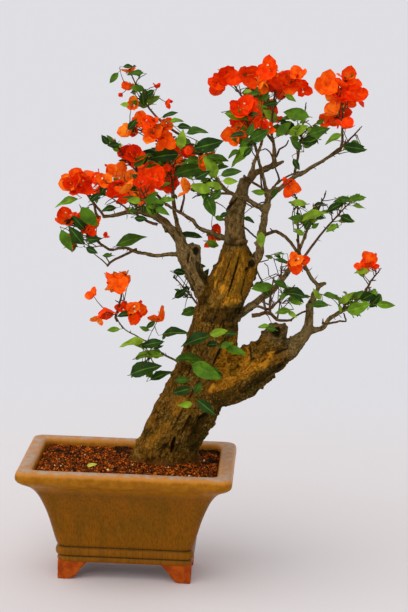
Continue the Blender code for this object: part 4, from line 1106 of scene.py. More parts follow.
# Crown: the source's growing rule, carried on to finer twigs
# limb, place along it, middle, half sizes, twigs, leaves a twig, blooms, seed, stem's knots
masses = {
    "mass_shoot_tip": ("bough_shoot", 1.0, (5, -18, 922), (58, 48, 46), 6, 3, 2, 11,
                       [(52, -34, 866), (20, -24, 896)]),
    "mass_shoot_low": ("bough_shoot", 0.86, (26, -60, 850), (60, 50, 36), 6, 2, 4, 12, []),
    "mass_shoot_base": ("bough_shoot", 0.62, (122, -76, 820), (48, 50, 40), 5, 4, 0, 13, []),
    "mass_centre_front": ("bough_shoot", 0.34, (134, -98, 748), (44, 44, 46), 5, 4, 1, 14, []),
    "mass_left_top": ("bough_left_high", 1.0, (-22, -8, 802), (56, 54, 46), 6, 2, 4, 15, []),
    "mass_left_inner": ("bough_left_high", 0.76, (62, 34, 778), (54, 50, 50), 6, 3, 1, 16, []),
    "mass_left": ("bough_left", 0.8, (6, -46, 748), (70, 52, 42), 7, 1, 6, 17, []),
    "mass_left_far": ("bough_left", 1.0, (-98, -8, 738), (52, 54, 38), 6, 1, 5, 18, []),
    "mass_left_low": ("bough_left_low", 1.0, (-88, -14, 655), (60, 54, 55), 7, 3, 2, 19, []),
    "mass_front_left": ("bough_left", 0.6, (28, -134, 744), (60, 54, 46), 6, 3, 2, 20, []),
    "mass_top_left": ("bough_apex", 0.86, (176, 12, 938), (52, 50, 38), 6, 1, 4, 21, []),
    "mass_top": ("bough_apex", 1.0, (252, 0, 930), (58, 60, 48), 8, 1, 7, 22, []),
    "mass_top_front": ("bough_top", 1.0, (206, -74, 872), (50, 50, 48), 6, 3, 4, 23, []),
    "mass_top_right": ("bough_far_right", 0.36, (306, -26, 874), (46, 50, 46), 6, 4, 0, 24, []),
    "mass_right_top": ("bough_far_right", 1.0, (376, -18, 922), (46, 52, 48), 7, 1, 6, 25, []),
    "mass_right_crest": ("bough_far_right", 0.82, (392, -40, 850), (44, 48, 36), 5, 4, 0, 26, []),
    "mass_right_mid": ("bough_right_mid", 1.0, (302, -4, 704), (46, 52, 50), 6, 4, 1, 27, []),
    "mass_right_out": ("bough_right_mid", 0.86, (382, -4, 712), (48, 50, 44), 6, 4, 0, 28, [(346, -4, 668)]),
    "mass_front_right": ("bough_right_mid", 0.62, (306, -74, 622), (44, 50, 44), 5, 3, 1, 29, []),
    "mass_right_low": ("bough_arch", 1.0, (280, -30, 552), (52, 50, 46), 7, 4, 0, 30, []),
    "mass_right_tip": ("bough_right_tip", 1.0, (442, -8, 583), (48, 50, 56), 6, 3, 1, 31, []),
    "mass_right_reach": ("bough_right_tip", 0.62, (398, -34, 548), (44, 44, 36), 5, 3, 0, 32, []),
    "mass_low_blossom": ("bough_low", 1.0, (-18, -52, 540), (76, 52, 62), 7, 1, 6, 33, []),
    "mass_low_leaves": ("bough_low", 0.42, (40, -78, 438), (54, 46, 58), 6, 4, 1, 34, []),
    "mass_trunk_front": ("trunk", 0.33, (148, -84, 424), (56, 44, 66), 5, 3, 0, 35, []),
    "mass_trunk_back": ("trunk", 0.5, (92, 58, 546), (40, 42, 54), 4, 3, 0, 36, []),
    "mass_inner": ("bough_left_high", 0.24, (138, 26, 654), (36, 38, 38), 3, 2, 1, 37, []),
    "mass_back_left": ("bough_back_left", 1.0, (52, 146, 764), (74, 66, 60), 7, 3, 3, 38, []),
    "mass_back_low": ("bough_back_left", 0.74, (-34, 130, 704), (64, 60, 48), 7, 3, 2, 39, []),
    "mass_back_top": ("bough_back_top", 1.0, (232, 112, 884), (68, 62, 58), 7, 3, 3, 40, []),
    "mass_back_right": ("bough_back_right", 0.56, (276, 138, 566), (62, 60, 52), 7, 3, 1, 41, []),
    "mass_back_high": ("bough_back_right", 1.0, (344, 106, 703), (58, 60, 46), 7, 3, 2, 42, []),
}
rule = {        # the growing rule's sizes, as in the source
    "goldenAngle": math.radians(137.5), "stemRadius": 2.8, "twigRadius": 1.4, "twigTip": 0.8,
    "twigLongest": 78.0, "twigShortest": 16.0, "leafLength": 46.0, "bractLength": 32.0, "bracts": 3,
    "leafWidth": 0.58, "leafWidest": 0.42, "notchReach": 0.52, "notchCup": 0.35, "truss": (1.0, 0.5),
    "fits": (1.0, 0.8, 0.64), "spaceMargin": 0.03, "bladeLimit": 1.12, "limbMargin": 2.2,
    "twigMargin": 1.5, "ownTwigMargin": 0.5, "leafMargin": 5.0, "bloomMargin": 8.0, "straightTwig": 34.0,
}


def pointOn(route, share):
    spots = [point for point, _ in route]
    lengths = [(b - a).length for a, b in zip(spots, spots[1:])]
    left = share * sum(lengths)
    for i, length in enumerate(lengths):
        if left <= length or i == len(lengths) - 1:
            return spots[i].lerp(spots[i + 1], min(1.0, left / length)), (spots[i + 1] - spots[i]).normalized()
        left -= length


def around(way, turn):
    # the direction across a way, turned about it
    side = way.orthogonal().normalized()
    return side * math.cos(turn) + way.cross(side) * math.sin(turn)


def besideOf(heads, out):
    # level and square to a twig, or to where it stands out if the twig stands upright
    beside = heads.cross(Vector((0, 0, 1)))
    if beside.length < 0.2:
        beside = out.cross(heads)
    return beside.normalized()


def drawCups(draw, low=0.3, high=0.8):
    return [draw.uniform(low, high) for _ in range(rule["bracts"])]


def stemRoute(name):
    limb, share, middle, half, _, _, _, seed, via = masses[name]
    draw = random.Random(seed)
    start, way = pointOn(limbRoute(limb), min(share, 0.97))
    middle = Vector(middle)
    last = Vector(via[-1]) if via else start
    heading = (middle - last).normalized()
    reach = 0.55 / Vector([heading[k] / half[k] for k in range(3)]).length
    end = middle + heading * reach
    end.z += draw.uniform(-0.1, 0.2) * half[2]
    knots = [start] + [Vector(spot) for spot in via] + [middle, end]
    if share == 1.0:
        knots.insert(1, start + way * 6 + (knots[1] - start).normalized() * 4)
    count = len(knots) - 1
    thin = rule["twigTip"] - rule["stemRadius"]
    return smoothRoute([(*knot, rule["stemRadius"] + thin * 0.8 * i / count) for i, knot in enumerate(knots)], 2)


def obstacles():
    rows = []
    for name in ["trunk", *limbs, *masses]:
        route = stemRoute(name) if name in masses else limbRoute(name)
        rows += [(a, b, max(ra, rb), name) for (a, ra), (b, rb) in zip(route, route[1:])]
    return [np.array(column) for column in zip(*rows)]


def clearOf(spots, ends, runs, radii, margin):
    squares = np.maximum((runs ** 2).sum(axis=1), 1e-9)
    along = ((spots[:, None] - ends) * runs).sum(axis=2) / squares
    nearest = ends + runs * np.clip(along, 0, 1)[:, :, None]
    return bool((np.linalg.norm(spots[:, None] - nearest, axis=2) > radii + margin).all())


class Room:
    # the space that one mass keeps to
    def __init__(self, name, capsules):
        ends, others, radii, owners = capsules
        foreign = owners != name
        self.limbs = (ends[foreign], (others - ends)[foreign], radii[foreign])
        self.middle = np.array(masses[name][2], float)
        self.half = np.array(masses[name][3], float)
        rest = [row for key, row in masses.items() if key != name]
        self.middles = np.array([row[2] for row in rest], float)
        self.halves = np.array([row[3] for row in rest], float)
        self.twigs = []
        self.blades = []

    def holds(self, spots, margin=None, limit=1.0):
        margin = rule["limbMargin"] if margin is None else margin
        spots = np.array([tuple(spot) for spot in spots])
        own = np.linalg.norm((spots - self.middle) / self.half, axis=1)
        if own.max() > limit:
            return False
        others = np.linalg.norm((spots[:, None] - self.middles) / self.halves, axis=2)
        if (others.min(axis=1) < own + rule["spaceMargin"]).any():
            return False
        return clearOf(spots, *self.limbs, margin)

    def free(self, spots, rootedOn, margin):
        spots = np.array([tuple(spot) for spot in spots])
        for number, twig in enumerate(self.twigs):
            if not clearOf(spots, *twig, rule["ownTwigMargin"] if number == rootedOn else rule["twigMargin"]):
                return False
        if not self.blades:
            return True
        return bool((np.linalg.norm(spots[:, None] - np.concatenate(self.blades), axis=2) > margin).all())

    def takeTwig(self, twig):
        ends = np.array([tuple(point) for point, _ in twig])
        radii = np.array([radius for _, radius in twig])
        self.twigs.append((ends[:-1], ends[1:] - ends[:-1], radii[:-1]))

    def takeBlade(self, spots):
        self.blades.append(np.array([tuple(spot) for spot in spots]))


def bladeFrame(along, facing):
    along = along.normalized()
    side = facing.cross(along).normalized()
    return along, side, along.cross(side)


def leafOutline(leaf):
    root, (along, side, normal), length, droop = leaf
    flank = root + along * (rule["leafWidest"] * length) + normal * (0.05 * length)
    reach = side * (rule["leafWidth"] * length / 2)
    return [root, flank + reach, root + along * length - normal * (droop * length), flank - reach]


def leafSpots(leaf):
    root, right, tip, left = leafOutline(leaf)
    middle = (right + left) / 2
    return [right, tip, left, middle, (right + tip) / 2, (left + tip) / 2, (middle + tip) / 2,
            root * 0.35 + right * 0.65, root * 0.35 + left * 0.65]


def bloomOutline(bloom):
    spot, axis, spin, cups, length = bloom
    outline = []
    for k in range(2 * len(cups)):
        radial = around(axis, spin + math.pi * k / len(cups))
        if k % 2:
            outline.append(spot + (radial + axis * rule["notchCup"]) * (rule["notchReach"] * length))
        else:
            outline.append(spot + (radial + axis * cups[k // 2]).normalized() * length)
    return outline


def bloomSpots(bloom):
    spot = bloom[0]
    outline = bloomOutline(bloom)
    following = outline[1:] + outline[:1]
    return (outline + [(a + b) / 2 for a, b in zip(outline, following)]
            + [spot * 0.4 + tip * 0.6 for tip in outline[::2]])


def ellipsoidReach(offset, heading, half):
    u = Vector([heading[k] / half[k] for k in range(3)])
    v = Vector([offset[k] / half[k] for k in range(3)])
    a, b, c = u.dot(u), u.dot(v), v.dot(v) - 1
    return (math.sqrt(max(0.0, b * b - a * c)) - b) / a


def fitBlade(room, number, make, spotsOf, margin):
    # the largest of its sizes that the room has space for, if any
    for share in rule["fits"]:
        made = make(share)
        spots = spotsOf(made)
        if room.holds(spots, None, rule["bladeLimit"]) and room.free(spots, number, margin):
            room.takeBlade(spots)
            return made
    return None


def fitTwig(room, start, heading, curve, length):
    for share in rule["fits"]:
        reach = length * share
        twig = [(start, rule["twigRadius"]), (start + heading * reach, rule["twigTip"])]
        if reach > rule["straightTwig"]:
            bend = start + heading * reach * 0.5 + curve * reach
            twig.insert(1, (bend, (rule["twigRadius"] + rule["twigTip"]) / 2))
        if room.holds([pointOn(twig, t / 6)[0] for t in range(2, 7)]):
            room.takeTwig(twig)
            return twig
    return None


def grow(name, room):
    # every number is drawn whether or not the piece then fits
    _, _, middle, half, twigCount, leafCount, bloomCount, seed, _ = masses[name]
    middle = Vector(middle)
    draw = random.Random(seed * 7 + 1)
    stem = stemRoute(name)
    room.takeTwig(stem)
    inside = [i / 40 for i in range(41) if room.holds([pointOn(stem, i / 40)[0]], 0.0, 0.95)]
    first = inside[0] if inside else 0.5
    turn = draw.uniform(0, math.tau)
    plans = []
    for i in range(twigCount):
        turn += rule["goldenAngle"] + draw.uniform(-0.3, 0.3)
        share = first + (1 - first) * (i + draw.uniform(0.1, 0.9)) / twigCount
        lean, lift, reach = draw.uniform(0.15, 0.75), draw.uniform(-0.05, 0.4), draw.uniform(0.86, 0.98)
        bend, sway = draw.uniform(-0.1, 0.18), draw.uniform(-0.12, 0.12)
        start, way = pointOn(stem, share)
        out = around(way, turn)
        heading = (out + way * lean + Vector((0, 0, lift))).normalized()
        if i == twigCount - 1:
            heading = (way + out * 0.25).normalized()
        blooming = i * bloomCount // twigCount != (i + 1) * bloomCount // twigCount
        ending = rule["bractLength"] * 0.8 if blooming else rule["leafLength"] * 0.7
        length = ellipsoidReach(start - middle, heading, half) * reach - ending
        length = max(rule["twigShortest"], min(rule["twigLongest"], length))
        curve = Vector((0, 0, 1)) * bend + way.cross(out) * sway
        twig = fitTwig(room, start, heading, curve, length)
        if twig:
            plans.append((i, len(room.twigs) - 1, twig, blooming, out))
    blooms = []
    for i, number, twig, blooming, out in plans:
        if not blooming:
            continue
        draw = random.Random(seed * 100 + i)
        for place in rule["truss"]:
            spin, length = draw.uniform(0, math.tau), rule["bractLength"] * draw.uniform(0.9, 1.15)
            cups = drawCups(draw)
            turn = draw.uniform(0, math.tau)
            spot, heads = pointOn(twig, place)
            axis = heads + Vector((0, -0.2, 0.4))
            if place < 1:
                side = heads.orthogonal().normalized()
                axis = heads * 0.2 + side * math.cos(turn) + heads.cross(side) * math.sin(turn)
            axis.normalize()
            blooms.append(fitBlade(room, number, lambda share: (spot, axis, spin, cups, length * share),
                                   bloomSpots, rule["bloomMargin"]))
    leaves = []
    for i, number, twig, blooming, out in plans:
        draw = random.Random(seed * 200 + i)
        for k in range(leafCount):
            size = rule["leafLength"] * draw.uniform(0.8, 1.15)
            spread, dip, tilt = draw.uniform(0.9, 1.7), draw.uniform(-0.35, 0.2), draw.uniform(-0.5, 0.5)
            droop, shift = draw.uniform(0.02, 0.2), draw.uniform(-0.06, 0.06)
            ends = k == leafCount - 1 and not blooming
            spot, heads = pointOn(twig, 0.98 if ends else 0.42 + shift + 0.5 * k / leafCount)
            beside = besideOf(heads, out)
            hand = (1 if (k + i) % 2 else -1) * (0.3 if ends else 1)
            along = heads + beside * (hand * spread) + Vector((0, 0, dip))
            facing = Vector((0, 0, 1)) + beside * tilt + (spot - middle).normalized() * 0.5
            axes = bladeFrame(along, facing)
            leaves.append(fitBlade(room, number, lambda share: (spot, axes, size * share, droop),
                                   leafSpots, rule["leafMargin"]))
    return stem, [plan[2] for plan in plans], [leaf for leaf in leaves if leaf], [bloom for bloom in blooms if bloom]


# Leaves and blossom that have their own place: middle x and z where the line of sight
# crosses the plane y = 0, then a leaf's turn in degrees, length and breadth, or a bloom's size.
placedLeaves = [
    (-44, 943, 50, 24, 14), (-17, 964, 1, 20, 8), (-5, 953, 1, 30, 10), (0, 926, 173, 24, 15), (11, 905, 95, 26, 14),
    (22, 917, 35, 21, 14), (29, 905, 16, 26, 15), (202, 927, 21, 16, 7), (214, 921, 31, 27, 8),
    (233, 916, 26, 22, 15), (244, 905, 14, 26, 13), (281, 916, 150, 24, 10), (-23, 895, 3, 16, 10),
    (61, 879, 22, 29, 9), (74, 869, 11, 24, 8), (184, 880, 167, 44, 15), (214, 885, 22, 22, 8),
    (244, 884, 152, 32, 21), (270, 861, 49, 38, 25), (292, 889, 171, 48, 32), (-58, 829, 133, 21, 11),
    (-42, 820, 180, 22, 15), (-7, 859, 49, 25, 16), (83, 835, 86, 35, 23), (89, 858, 0, 26, 9),
    (112, 850, 14, 38, 13), (135, 825, 12, 53, 26), (185, 846, 10, 26, 10), (203, 831, 25, 32, 14),
    (210, 857, 71, 24, 16), (221, 847, 30, 32, 19), (228, 847, 31, 38, 25), (293, 833, 139, 30, 20),
    (298, 859, 24, 37, 24), (316, 838, 12, 35, 23), (336, 859, 23, 37, 24), (362, 845, 31, 35, 8),
    (403, 830, 173, 42, 24), (10, 793, 38, 34, 18), (50, 803, 5, 57, 27), (100, 780, 20, 56, 37),
    (137, 786, 119, 48, 17), (152, 800, 169, 41, 13), (159, 785, 19, 25, 10), (181, 810, 39, 25, 5),
    (205, 815, 47, 24, 15), (296, 795, 117, 23, 15), (121, 747, 161, 38, 25), (124, 771, 31, 31, 21),
    (145, 752, 164, 30, 20), (176, 761, 5, 26, 17), (228, 741, 3, 25, 14), (-127, 708, 22, 45, 9),
    (-73, 723, 41, 25, 13), (-59, 738, 69, 25, 12), (-49, 700, 11, 31, 10), (-1, 718, 5, 23, 15),
    (16, 702, 89, 16, 10), (31, 704, 124, 29, 14), (33, 729, 32, 22, 11), (36, 717, 173, 36, 10),
    (60, 721, 16, 26, 10), (141, 713, 118, 39, 22), (151, 732, 55, 25, 17), (258, 739, 68, 21, 8),
    (302, 723, 180, 30, 13), (333, 701, 27, 45, 14), (339, 722, 7, 24, 7), (370, 718, 29, 34, 12),
    (385, 733, 176, 38, 10), (411, 737, 23, 31, 12), (415, 721, 173, 27, 7), (-104, 674, 129, 33, 22),
    (-85, 683, 126, 45, 30), (-3, 698, 177, 18, 7), (12, 684, 170, 23, 15), (52, 700, 158, 28, 13),
    (159, 690, 160, 19, 13), (165, 697, 30, 17, 11), (213, 689, 160, 22, 8), (299, 695, 9, 27, 18),
    (306, 671, 144, 21, 14), (321, 684, 67, 20, 13), (336, 683, 32, 16, 10), (345, 697, 10, 19, 6),
    (366, 679, 26, 26, 11), (394, 698, 159, 27, 17), (-127, 637, 114, 43, 29), (-109, 649, 129, 41, 27),
    (-78, 622, 163, 24, 12), (-74, 642, 7, 27, 17), (-6, 643, 23, 58, 21), (104, 652, 3, 45, 9),
    (236, 653, 89, 28, 6), (252, 622, 161, 16, 10), (271, 626, 8, 19, 4), (-50, 612, 6, 19, 8),
    (88, 586, 173, 25, 12), (127, 600, 0, 16, 8), (134, 584, 60, 26, 17), (275, 614, 162, 25, 6),
    (425, 600, 3, 28, 11), (91, 547, 38, 32, 16), (241, 564, 6, 39, 25), (274, 571, 152, 29, 10),
    (285, 551, 30, 26, 10), (306, 551, 170, 51, 19), (343, 554, 132, 25, 14), (372, 551, 167, 31, 10),
    (398, 550, 53, 31, 21), (419, 557, 50, 24, 16), (441, 555, 36, 34, 16), (452, 546, 54, 30, 18),
    (-15, 502, 5, 27, 9), (106, 512, 25, 32, 19), (281, 519, 10, 29, 13), (300, 514, 150, 19, 9),
    (307, 537, 175, 22, 10), (347, 533, 2, 35, 10), (389, 528, 108, 15, 10), (423, 530, 15, 43, 27),
    (473, 540, 3, 33, 18), (-35, 471, 13, 24, 11), (23, 476, 168, 19, 12), (34, 484, 36, 21, 14),
    (81, 469, 12, 51, 10), (164, 473, 10, 32, 13), (187, 472, 0, 22, 10), (246, 489, 15, 22, 10),
    (260, 486, 160, 19, 9), (0, 447, 12, 45, 12), (33, 424, 19, 53, 16), (40, 447, 13, 40, 15), (109, 422, 3, 48, 13),
    (121, 456, 20, 58, 15), (154, 450, 5, 26, 9), (179, 452, 30, 26, 10), (197, 440, 170, 38, 17),
    (27, 398, 24, 58, 24), (59, 386, 20, 46, 14), (95, 380, 0, 26, 12), (143, 400, 162, 58, 29),
    (95, 359, 20, 38, 19), (126, 365, 60, 29, 18), (104, 332, 10, 26, 13), (145, 330, 150, 41, 24),
    (192, 806, 42, 54, 18), (177, 777, 20, 36, 16), (147, 642, 160, 26, 13),
]
placedBlooms = [
    (165, 954, 34), (207, 954, 34), (237, 969, 32), (255, 948, 34), (279, 945, 29), (292, 965, 23), (300, 948, 21),
    (347, 945, 33), (390, 957, 32), (-32, 911, 9), (-19, 931, 18), (36, 935, 12), (61, 900, 15), (144, 939, 18),
    (193, 900, 34), (218, 904, 26), (234, 935, 26), (307, 933, 21), (372, 927, 34), (398, 930, 34), (-8, 896, 18),
    (8, 868, 24), (21, 865, 24), (57, 864, 17), (193, 864, 23), (221, 867, 14), (234, 874, 12), (244, 866, 13),
    (249, 887, 12), (261, 879, 11), (345, 879, 22), (356, 900, 29), (361, 877, 24), (373, 893, 25), (385, 877, 26),
    (-21, 847, 20), (-6, 846, 16), (38, 848, 32), (56, 828, 30), (173, 845, 27), (196, 846, 22), (-13, 805, 33),
    (54, 811, 28), (98, 815, 16), (131, 795, 30), (-121, 750, 33), (-98, 756, 35), (-76, 756, 25), (-57, 755, 25),
    (-53, 776, 15), (-32, 776, 30), (-10, 752, 36), (13, 744, 39), (35, 764, 34), (57, 780, 15), (64, 759, 35),
    (88, 746, 27), (278, 765, 10), (290, 751, 27), (-30, 738, 35), (-126, 685, 33), (-80, 660, 16), (-51, 652, 11),
    (439, 628, 24), (305, 610, 33), (420, 614, 18), (431, 603, 13), (449, 613, 15), (-30, 567, 48), (-80, 539, 18),
    (-19, 515, 19), (0, 516, 19), (18, 514, 24), (46, 505, 31), (-66, 486, 19), (-49, 498, 31), (2, 497, 19),
    (156, 663, 24), (143, 648, 19),
]
# Twigs that join them, beyond the source's own: x, y, z, radius.
sprays = [
    [(243, -12, 736, 1.9), (240, -12, 741, 1.7), (234, -12, 754, 1.5), (231, -12, 779, 1.5),
     (227, -12, 799, 1.3), (215, -12, 817, 1.1), (210, -12, 834, 0.9)],
    [(243, -16, 738, 2.0), (239, -16, 752, 1.8), (240, -16, 767, 1.6), (236, -16, 777, 1.5),
     (233, -16, 792, 1.1)],
    [(200, -14, 774, 2.4), (216, -14, 762, 2.2), (233, -14, 753, 2.0), (240, -14, 743, 2.2),
     (243, -14, 735, 2.4)],
    [(250, -14, 746, 2.4), (257, -14, 755, 2.2), (266, -14, 768, 1.9), (264, -14, 776, 1.7),
     (258, -14, 789, 1.5)],
    [(262, -28, 762, 2.2), (276, -28, 774, 1.9), (292, -28, 782, 1.7), (301, -28, 787, 1.3)],
    [(294, -30, 782, 1.8), (295, -30, 789, 1.6), (298, -30, 806, 1.4), (296, -30, 829, 1.1)],
    [(258, -2, 808, 2.3), (265, -2, 824, 1.9), (276, -2, 830, 1.6), (280, -2, 840, 1.2)],
    [(254, -4, 801, 2.0), (252, -4, 808, 1.6), (247, -4, 817, 1.4), (239, -4, 823, 1.2), (223, -4, 818, 0.9)],
    [(252, -30, 731, 1.6), (242, -30, 729, 1.4), (231, -30, 725, 1.3)],
    [(207, -34, 725, 1.8), (220, -34, 718, 1.6), (224, -34, 720, 1.0)],
    [(200, -14, 680, 2.0), (207, -14, 676, 1.9), (226, -14, 660, 1.6), (232, -14, 655, 1.7)],
    [(232, -20, 663, 3.4), (241, -20, 664, 3.0), (257, -20, 672, 2.7), (264, -20, 673, 2.6),
     (279, -20, 665, 2.5), (293, -20, 652, 2.5), (302, -20, 638, 2.5), (307, -20, 629, 2.9)],
    [(260, -20, 672, 2.0), (252, -20, 678, 1.0)],
    [(306, -14, 633, 2.4), (305, -14, 650, 2.1), (302, -14, 659, 1.4)],
    [(357, -4, 498, 2.4), (376, -4, 502, 2.0), (389, -4, 506, 1.9), (400, -4, 505, 1.8), (399, -4, 510, 1.6),
     (395, -4, 521, 1.4)], [(357, -2, 498, 1.9), (357, -2, 509, 0.9)],
    [(224, -14, 512, 4.2), (238, -14, 514, 3.4), (250, -16, 520, 3.0), (260, -16, 517, 3.2),
     (271, -16, 506, 3.2), (284, -16, 505, 3.0), (299, -16, 506, 2.2)],
    [(297, -8, 505, 2.0), (306, -8, 513, 1.7), (319, -8, 521, 1.8), (324, -8, 523, 2.0)],
    [(258, -17, 517, 3.0), (257, -20, 540, 2.6), (258, -20, 561, 2.2), (261, -20, 576, 1.8),
     (263, -20, 587, 1.2)], [(256, -18, 535, 2.0), (244, -18, 538, 1.7), (238, -18, 544, 1.2)],
    [(250, -16, 520, 2.4), (246, -16, 537, 2.0), (246, -16, 553, 1.9), (242, -16, 560, 1.7),
     (242, -16, 577, 1.5), (234, -16, 590, 1.4), (230, -16, 599, 1.4)],
    [(230, -16, 598, 1.4), (230, -18, 613, 1.2), (239, -18, 615, 1.1), (251, -18, 619, 1.0),
     (251, -18, 624, 0.9), (260, -18, 630, 0.8), (276, -18, 635, 0.6)],
    [(266, -18, 580, 0.9), (253, -18, 589, 1.0), (251, -18, 606, 1.1), (244, -18, 613, 0.9)],
    [(271, -17, 506, 2.0), (275, -18, 529, 1.5), (276, -18, 543, 0.9)],
    [(275, -17, 523, 1.0), (283, -14, 530, 0.9), (297, -14, 547, 0.8)],
    [(7, -13, 629, 2.6), (1, -13, 627, 2.4), (-16, -13, 617, 2.1), (-29, -13, 611, 1.9), (-44, -13, 601, 1.9),
     (-48, -13, 595, 2.2)], [(-47, -13, 597, 1.5), (-57, -13, 606, 1.3), (-72, -13, 617, 1.0)],
    [(-44, -14, 602, 1.4), (-50, -16, 612, 1.2), (-40, -16, 620, 1.4)],
    [(44, -10, 676, 3.0), (28, -10, 680, 3.2), (19, -10, 685, 3.0), (9, -10, 689, 2.4), (2, -10, 697, 2.2)],
    [(9, -11, 703, 2.2), (16, -12, 712, 1.8), (23, -12, 720, 1.3)],
    [(2, -9, 696, 2.2), (-9, -8, 698, 2.2), (-21, -8, 709, 1.6), (-35, -8, 717, 1.4), (-47, -8, 726, 1.0)],
    [(-35, -8, 717, 1.2), (-52, -8, 709, 0.7)],
    [(-64, -8, 682, 3.0), (-72, -8, 694, 2.6), (-74, -8, 707, 2.2), (-78, -8, 716, 1.8), (-83, -8, 730, 1.4)],
    [(86, -4, 701, 2.8), (89, -4, 714, 2.4), (91, -4, 725, 2.2), (92, -4, 738, 1.6)],
]
crown = {
    "seed": 90,
    "sideTwigs": 5,             # finer twigs off each twig
    "sideTwigLong": 40.0, "sideTwigShort": 14.0,
    "fineLeaf": 33.0,           # length of a leaf on a finer twig
    "leafGap": 7.0,             # least distance between the middles of two leaves
    "stalk": 6.0, "leafBreadth": 0.50,
    "startGap": 5.0,            # spacing of the points on twigs that a new twig can start from
    "heart": (180, 30), "backFrom": 40, "turnUp": 0.62, "turnOut": 0.62,        # how blades turn to the light
    "bractGap": 13.0,
    "clusterBlooms": 3,         # blooms round each of the rule's blooms
    "clusterSize": (0.68, 0.88), "endSize": (0.72, 0.95), "secondSize": (0.62, 0.85),     # sizes over the full one
    "secondShare": 0.6, "budShare": 0.25, "youngShare": 0.3,
    "leafRoom": 2.0, "bloomRoom": 1.0,      # how far past a placed leaf or bloom others may fill
    "lastBack": 236.0,                      # right of this no blossom is grown behind leaves
    "backRoom": 4.5, "farBack": 55.0,       # the more that is filled past them, farther back than this
    "hidingWood": 12.0, "woodRoom": 2.0,    # least radius that can hide leaves, and how far inside it
}


class Openings:
    # what the crown shows along each line of sight from the front: leaf, bloom, wood or sky
    def __init__(self):
        self.leaves = np.array(placedLeaves, float)
        self.blooms = np.array(placedBlooms, float)
        wooden = []
        for name in ["trunk", *limbs]:
            for (a, radius), (b, _) in zip(limbRoute(name), limbRoute(name)[1:]):
                if radius > crown["hidingWood"]:
                    spots = [self.flat(a.lerp(b, k / 6)) for k in range(6)]
                    wooden += [(spot.x, spot.z, radius) for spot in spots]
        self.wood = np.array(wooden)

    def flat(self, spot):
        # the place where the line of sight through a spot crosses the plane y = 0
        eye = Vector(view["place"])
        return eye + (spot - eye) * (eye.y / (eye.y - spot.y))

    def lifted(self, x, z, y):
        eye = Vector(view["place"])
        flat = Vector((x, 0, z))
        return eye + (flat - eye) * ((eye.y - y) / eye.y)

    def kind(self, spot):
        here = self.flat(spot)
        more = crown["backRoom"] * (spot.y > crown["farBack"] and spot.x < crown["lastBack"])
        across, up = here.x - self.leaves[:, 0], here.z - self.leaves[:, 1]
        turn = np.radians(self.leaves[:, 2])
        along, beside = across * np.cos(turn) + up * np.sin(turn), up * np.cos(turn) - across * np.sin(turn)
        room = crown["leafRoom"] + more
        leaf = np.hypot(along / (self.leaves[:, 3] / 2 + room), beside / (self.leaves[:, 4] / 2 + room)).min()
        bloom = (np.hypot(self.blooms[:, 0] - here.x, self.blooms[:, 1] - here.z)
                 / (self.blooms[:, 2] / 2 + crown["bloomRoom"] + more)).min()
        if min(leaf, bloom) > 1:
            behind = np.hypot(self.wood[:, 0] - here.x, self.wood[:, 1] - here.z) - self.wood[:, 2]
            return "wood" if spot.y > 30 and behind.min() < -crown["woodRoom"] else "sky"
        return "leaf" if leaf < bloom else "bloom"

    def leafStays(self, joint, axes, length, middle, half):
        # the placed leaves make the front of the crown, and the grown ones fill in behind them
        if joint.y < middle.y - 0.3 * half[1] and middle.y < 60:
            return False
        marks = [axes[0] * 0.45, axes[0] * 0.9]
        if joint.x > crown["lastBack"]:
            marks += [axes[0] * 0.5 + axes[1] * 0.22, axes[0] * 0.5 - axes[1] * 0.22]
        kinds = [self.kind(joint + mark * length) for mark in marks]
        if "sky" in kinds:
            return False
        return "bloom" not in kinds or joint.y > middle.y

    def bloomStays(self, spot, axis, length, middle):
        kinds = [self.kind(spot + axis * (length * 0.5)), self.kind(spot)]
        return "sky" not in kinds and ("bloom" in kinds or spot.y > middle.y and spot.x < crown["lastBack"])


openings = Openings()


def wobble(route, steps, amount, draw):
    # a twig's line with small crooks between its ends
    spots = []
    for k in range(steps + 1):
        place, way = pointOn(route, k / steps)
        out = around(way, draw.uniform(0, math.tau))
        away = amount * draw.uniform(0.3, 1.0) * (0 if k in (0, steps) else 1)
        spots.append(place + out * away)
    first, last = route[0][1], route[-1][1]
    return [(spot, first + (last - first) * k / steps) for k, spot in enumerate(spots)]


def towardsLight(spot, middle, draw):
    # blades turn up and away from the heart of the tree, each a little differently
    heartX, heartY = crown["heart"]
    away = Vector((spot.x - heartX, spot.y - heartY, 0))
    face = -1.0 if spot.y < crown["backFrom"] else 1.0
    own = (spot - middle).normalized()
    stray = Vector((draw.uniform(-1, 1), draw.uniform(-1, 1), draw.uniform(-0.4, 0.6))) * 0.45
    turned = Vector((0, 0, crown["turnUp"])) + away.normalized() * 0.25
    return turned + Vector((0, face * crown["turnOut"], 0)) + own * 0.35 + stray


class Harvest:
    # everything that the crown grows, by kind
    def __init__(self):
        self.twigs = []
        self.leaves = []        # root, along, side, normal, length, droop, tone, joint
        self.bracts = []        # root, along, side, normal, length, cup, tone
        self.flowers = []       # root, way, length, tone
        self.buds = []

    def leaf(self, joint, axes, length, droop, tone):
        along, side, normal = axes
        stalk = min(crown["stalk"], 0.2 * length)
        self.leaves.append((joint + along * stalk, along, side, normal, length - stalk, droop, tone, joint))

    def bloom(self, spot, axis, spin, cups, length, tone, draw):
        for k, cup in enumerate(cups):
            radial = around(axis, spin + math.tau * k / len(cups))
            along = (radial + axis * (0.45 + 0.95 * cup)).normalized()
            beside = axis.cross(radial).normalized()
            root = spot - axis * 3.0 + radial * 1.2
            self.bracts.append((root, along, beside, along.cross(beside), length * draw.uniform(0.92, 1.05),
                                draw.uniform(0.16, 0.34), tone))
            way = (along * 0.75 + axis * 0.9).normalized()
            self.flowers.append((root + axis * 1.0, way, length * draw.uniform(0.5, 0.62), draw.random()))


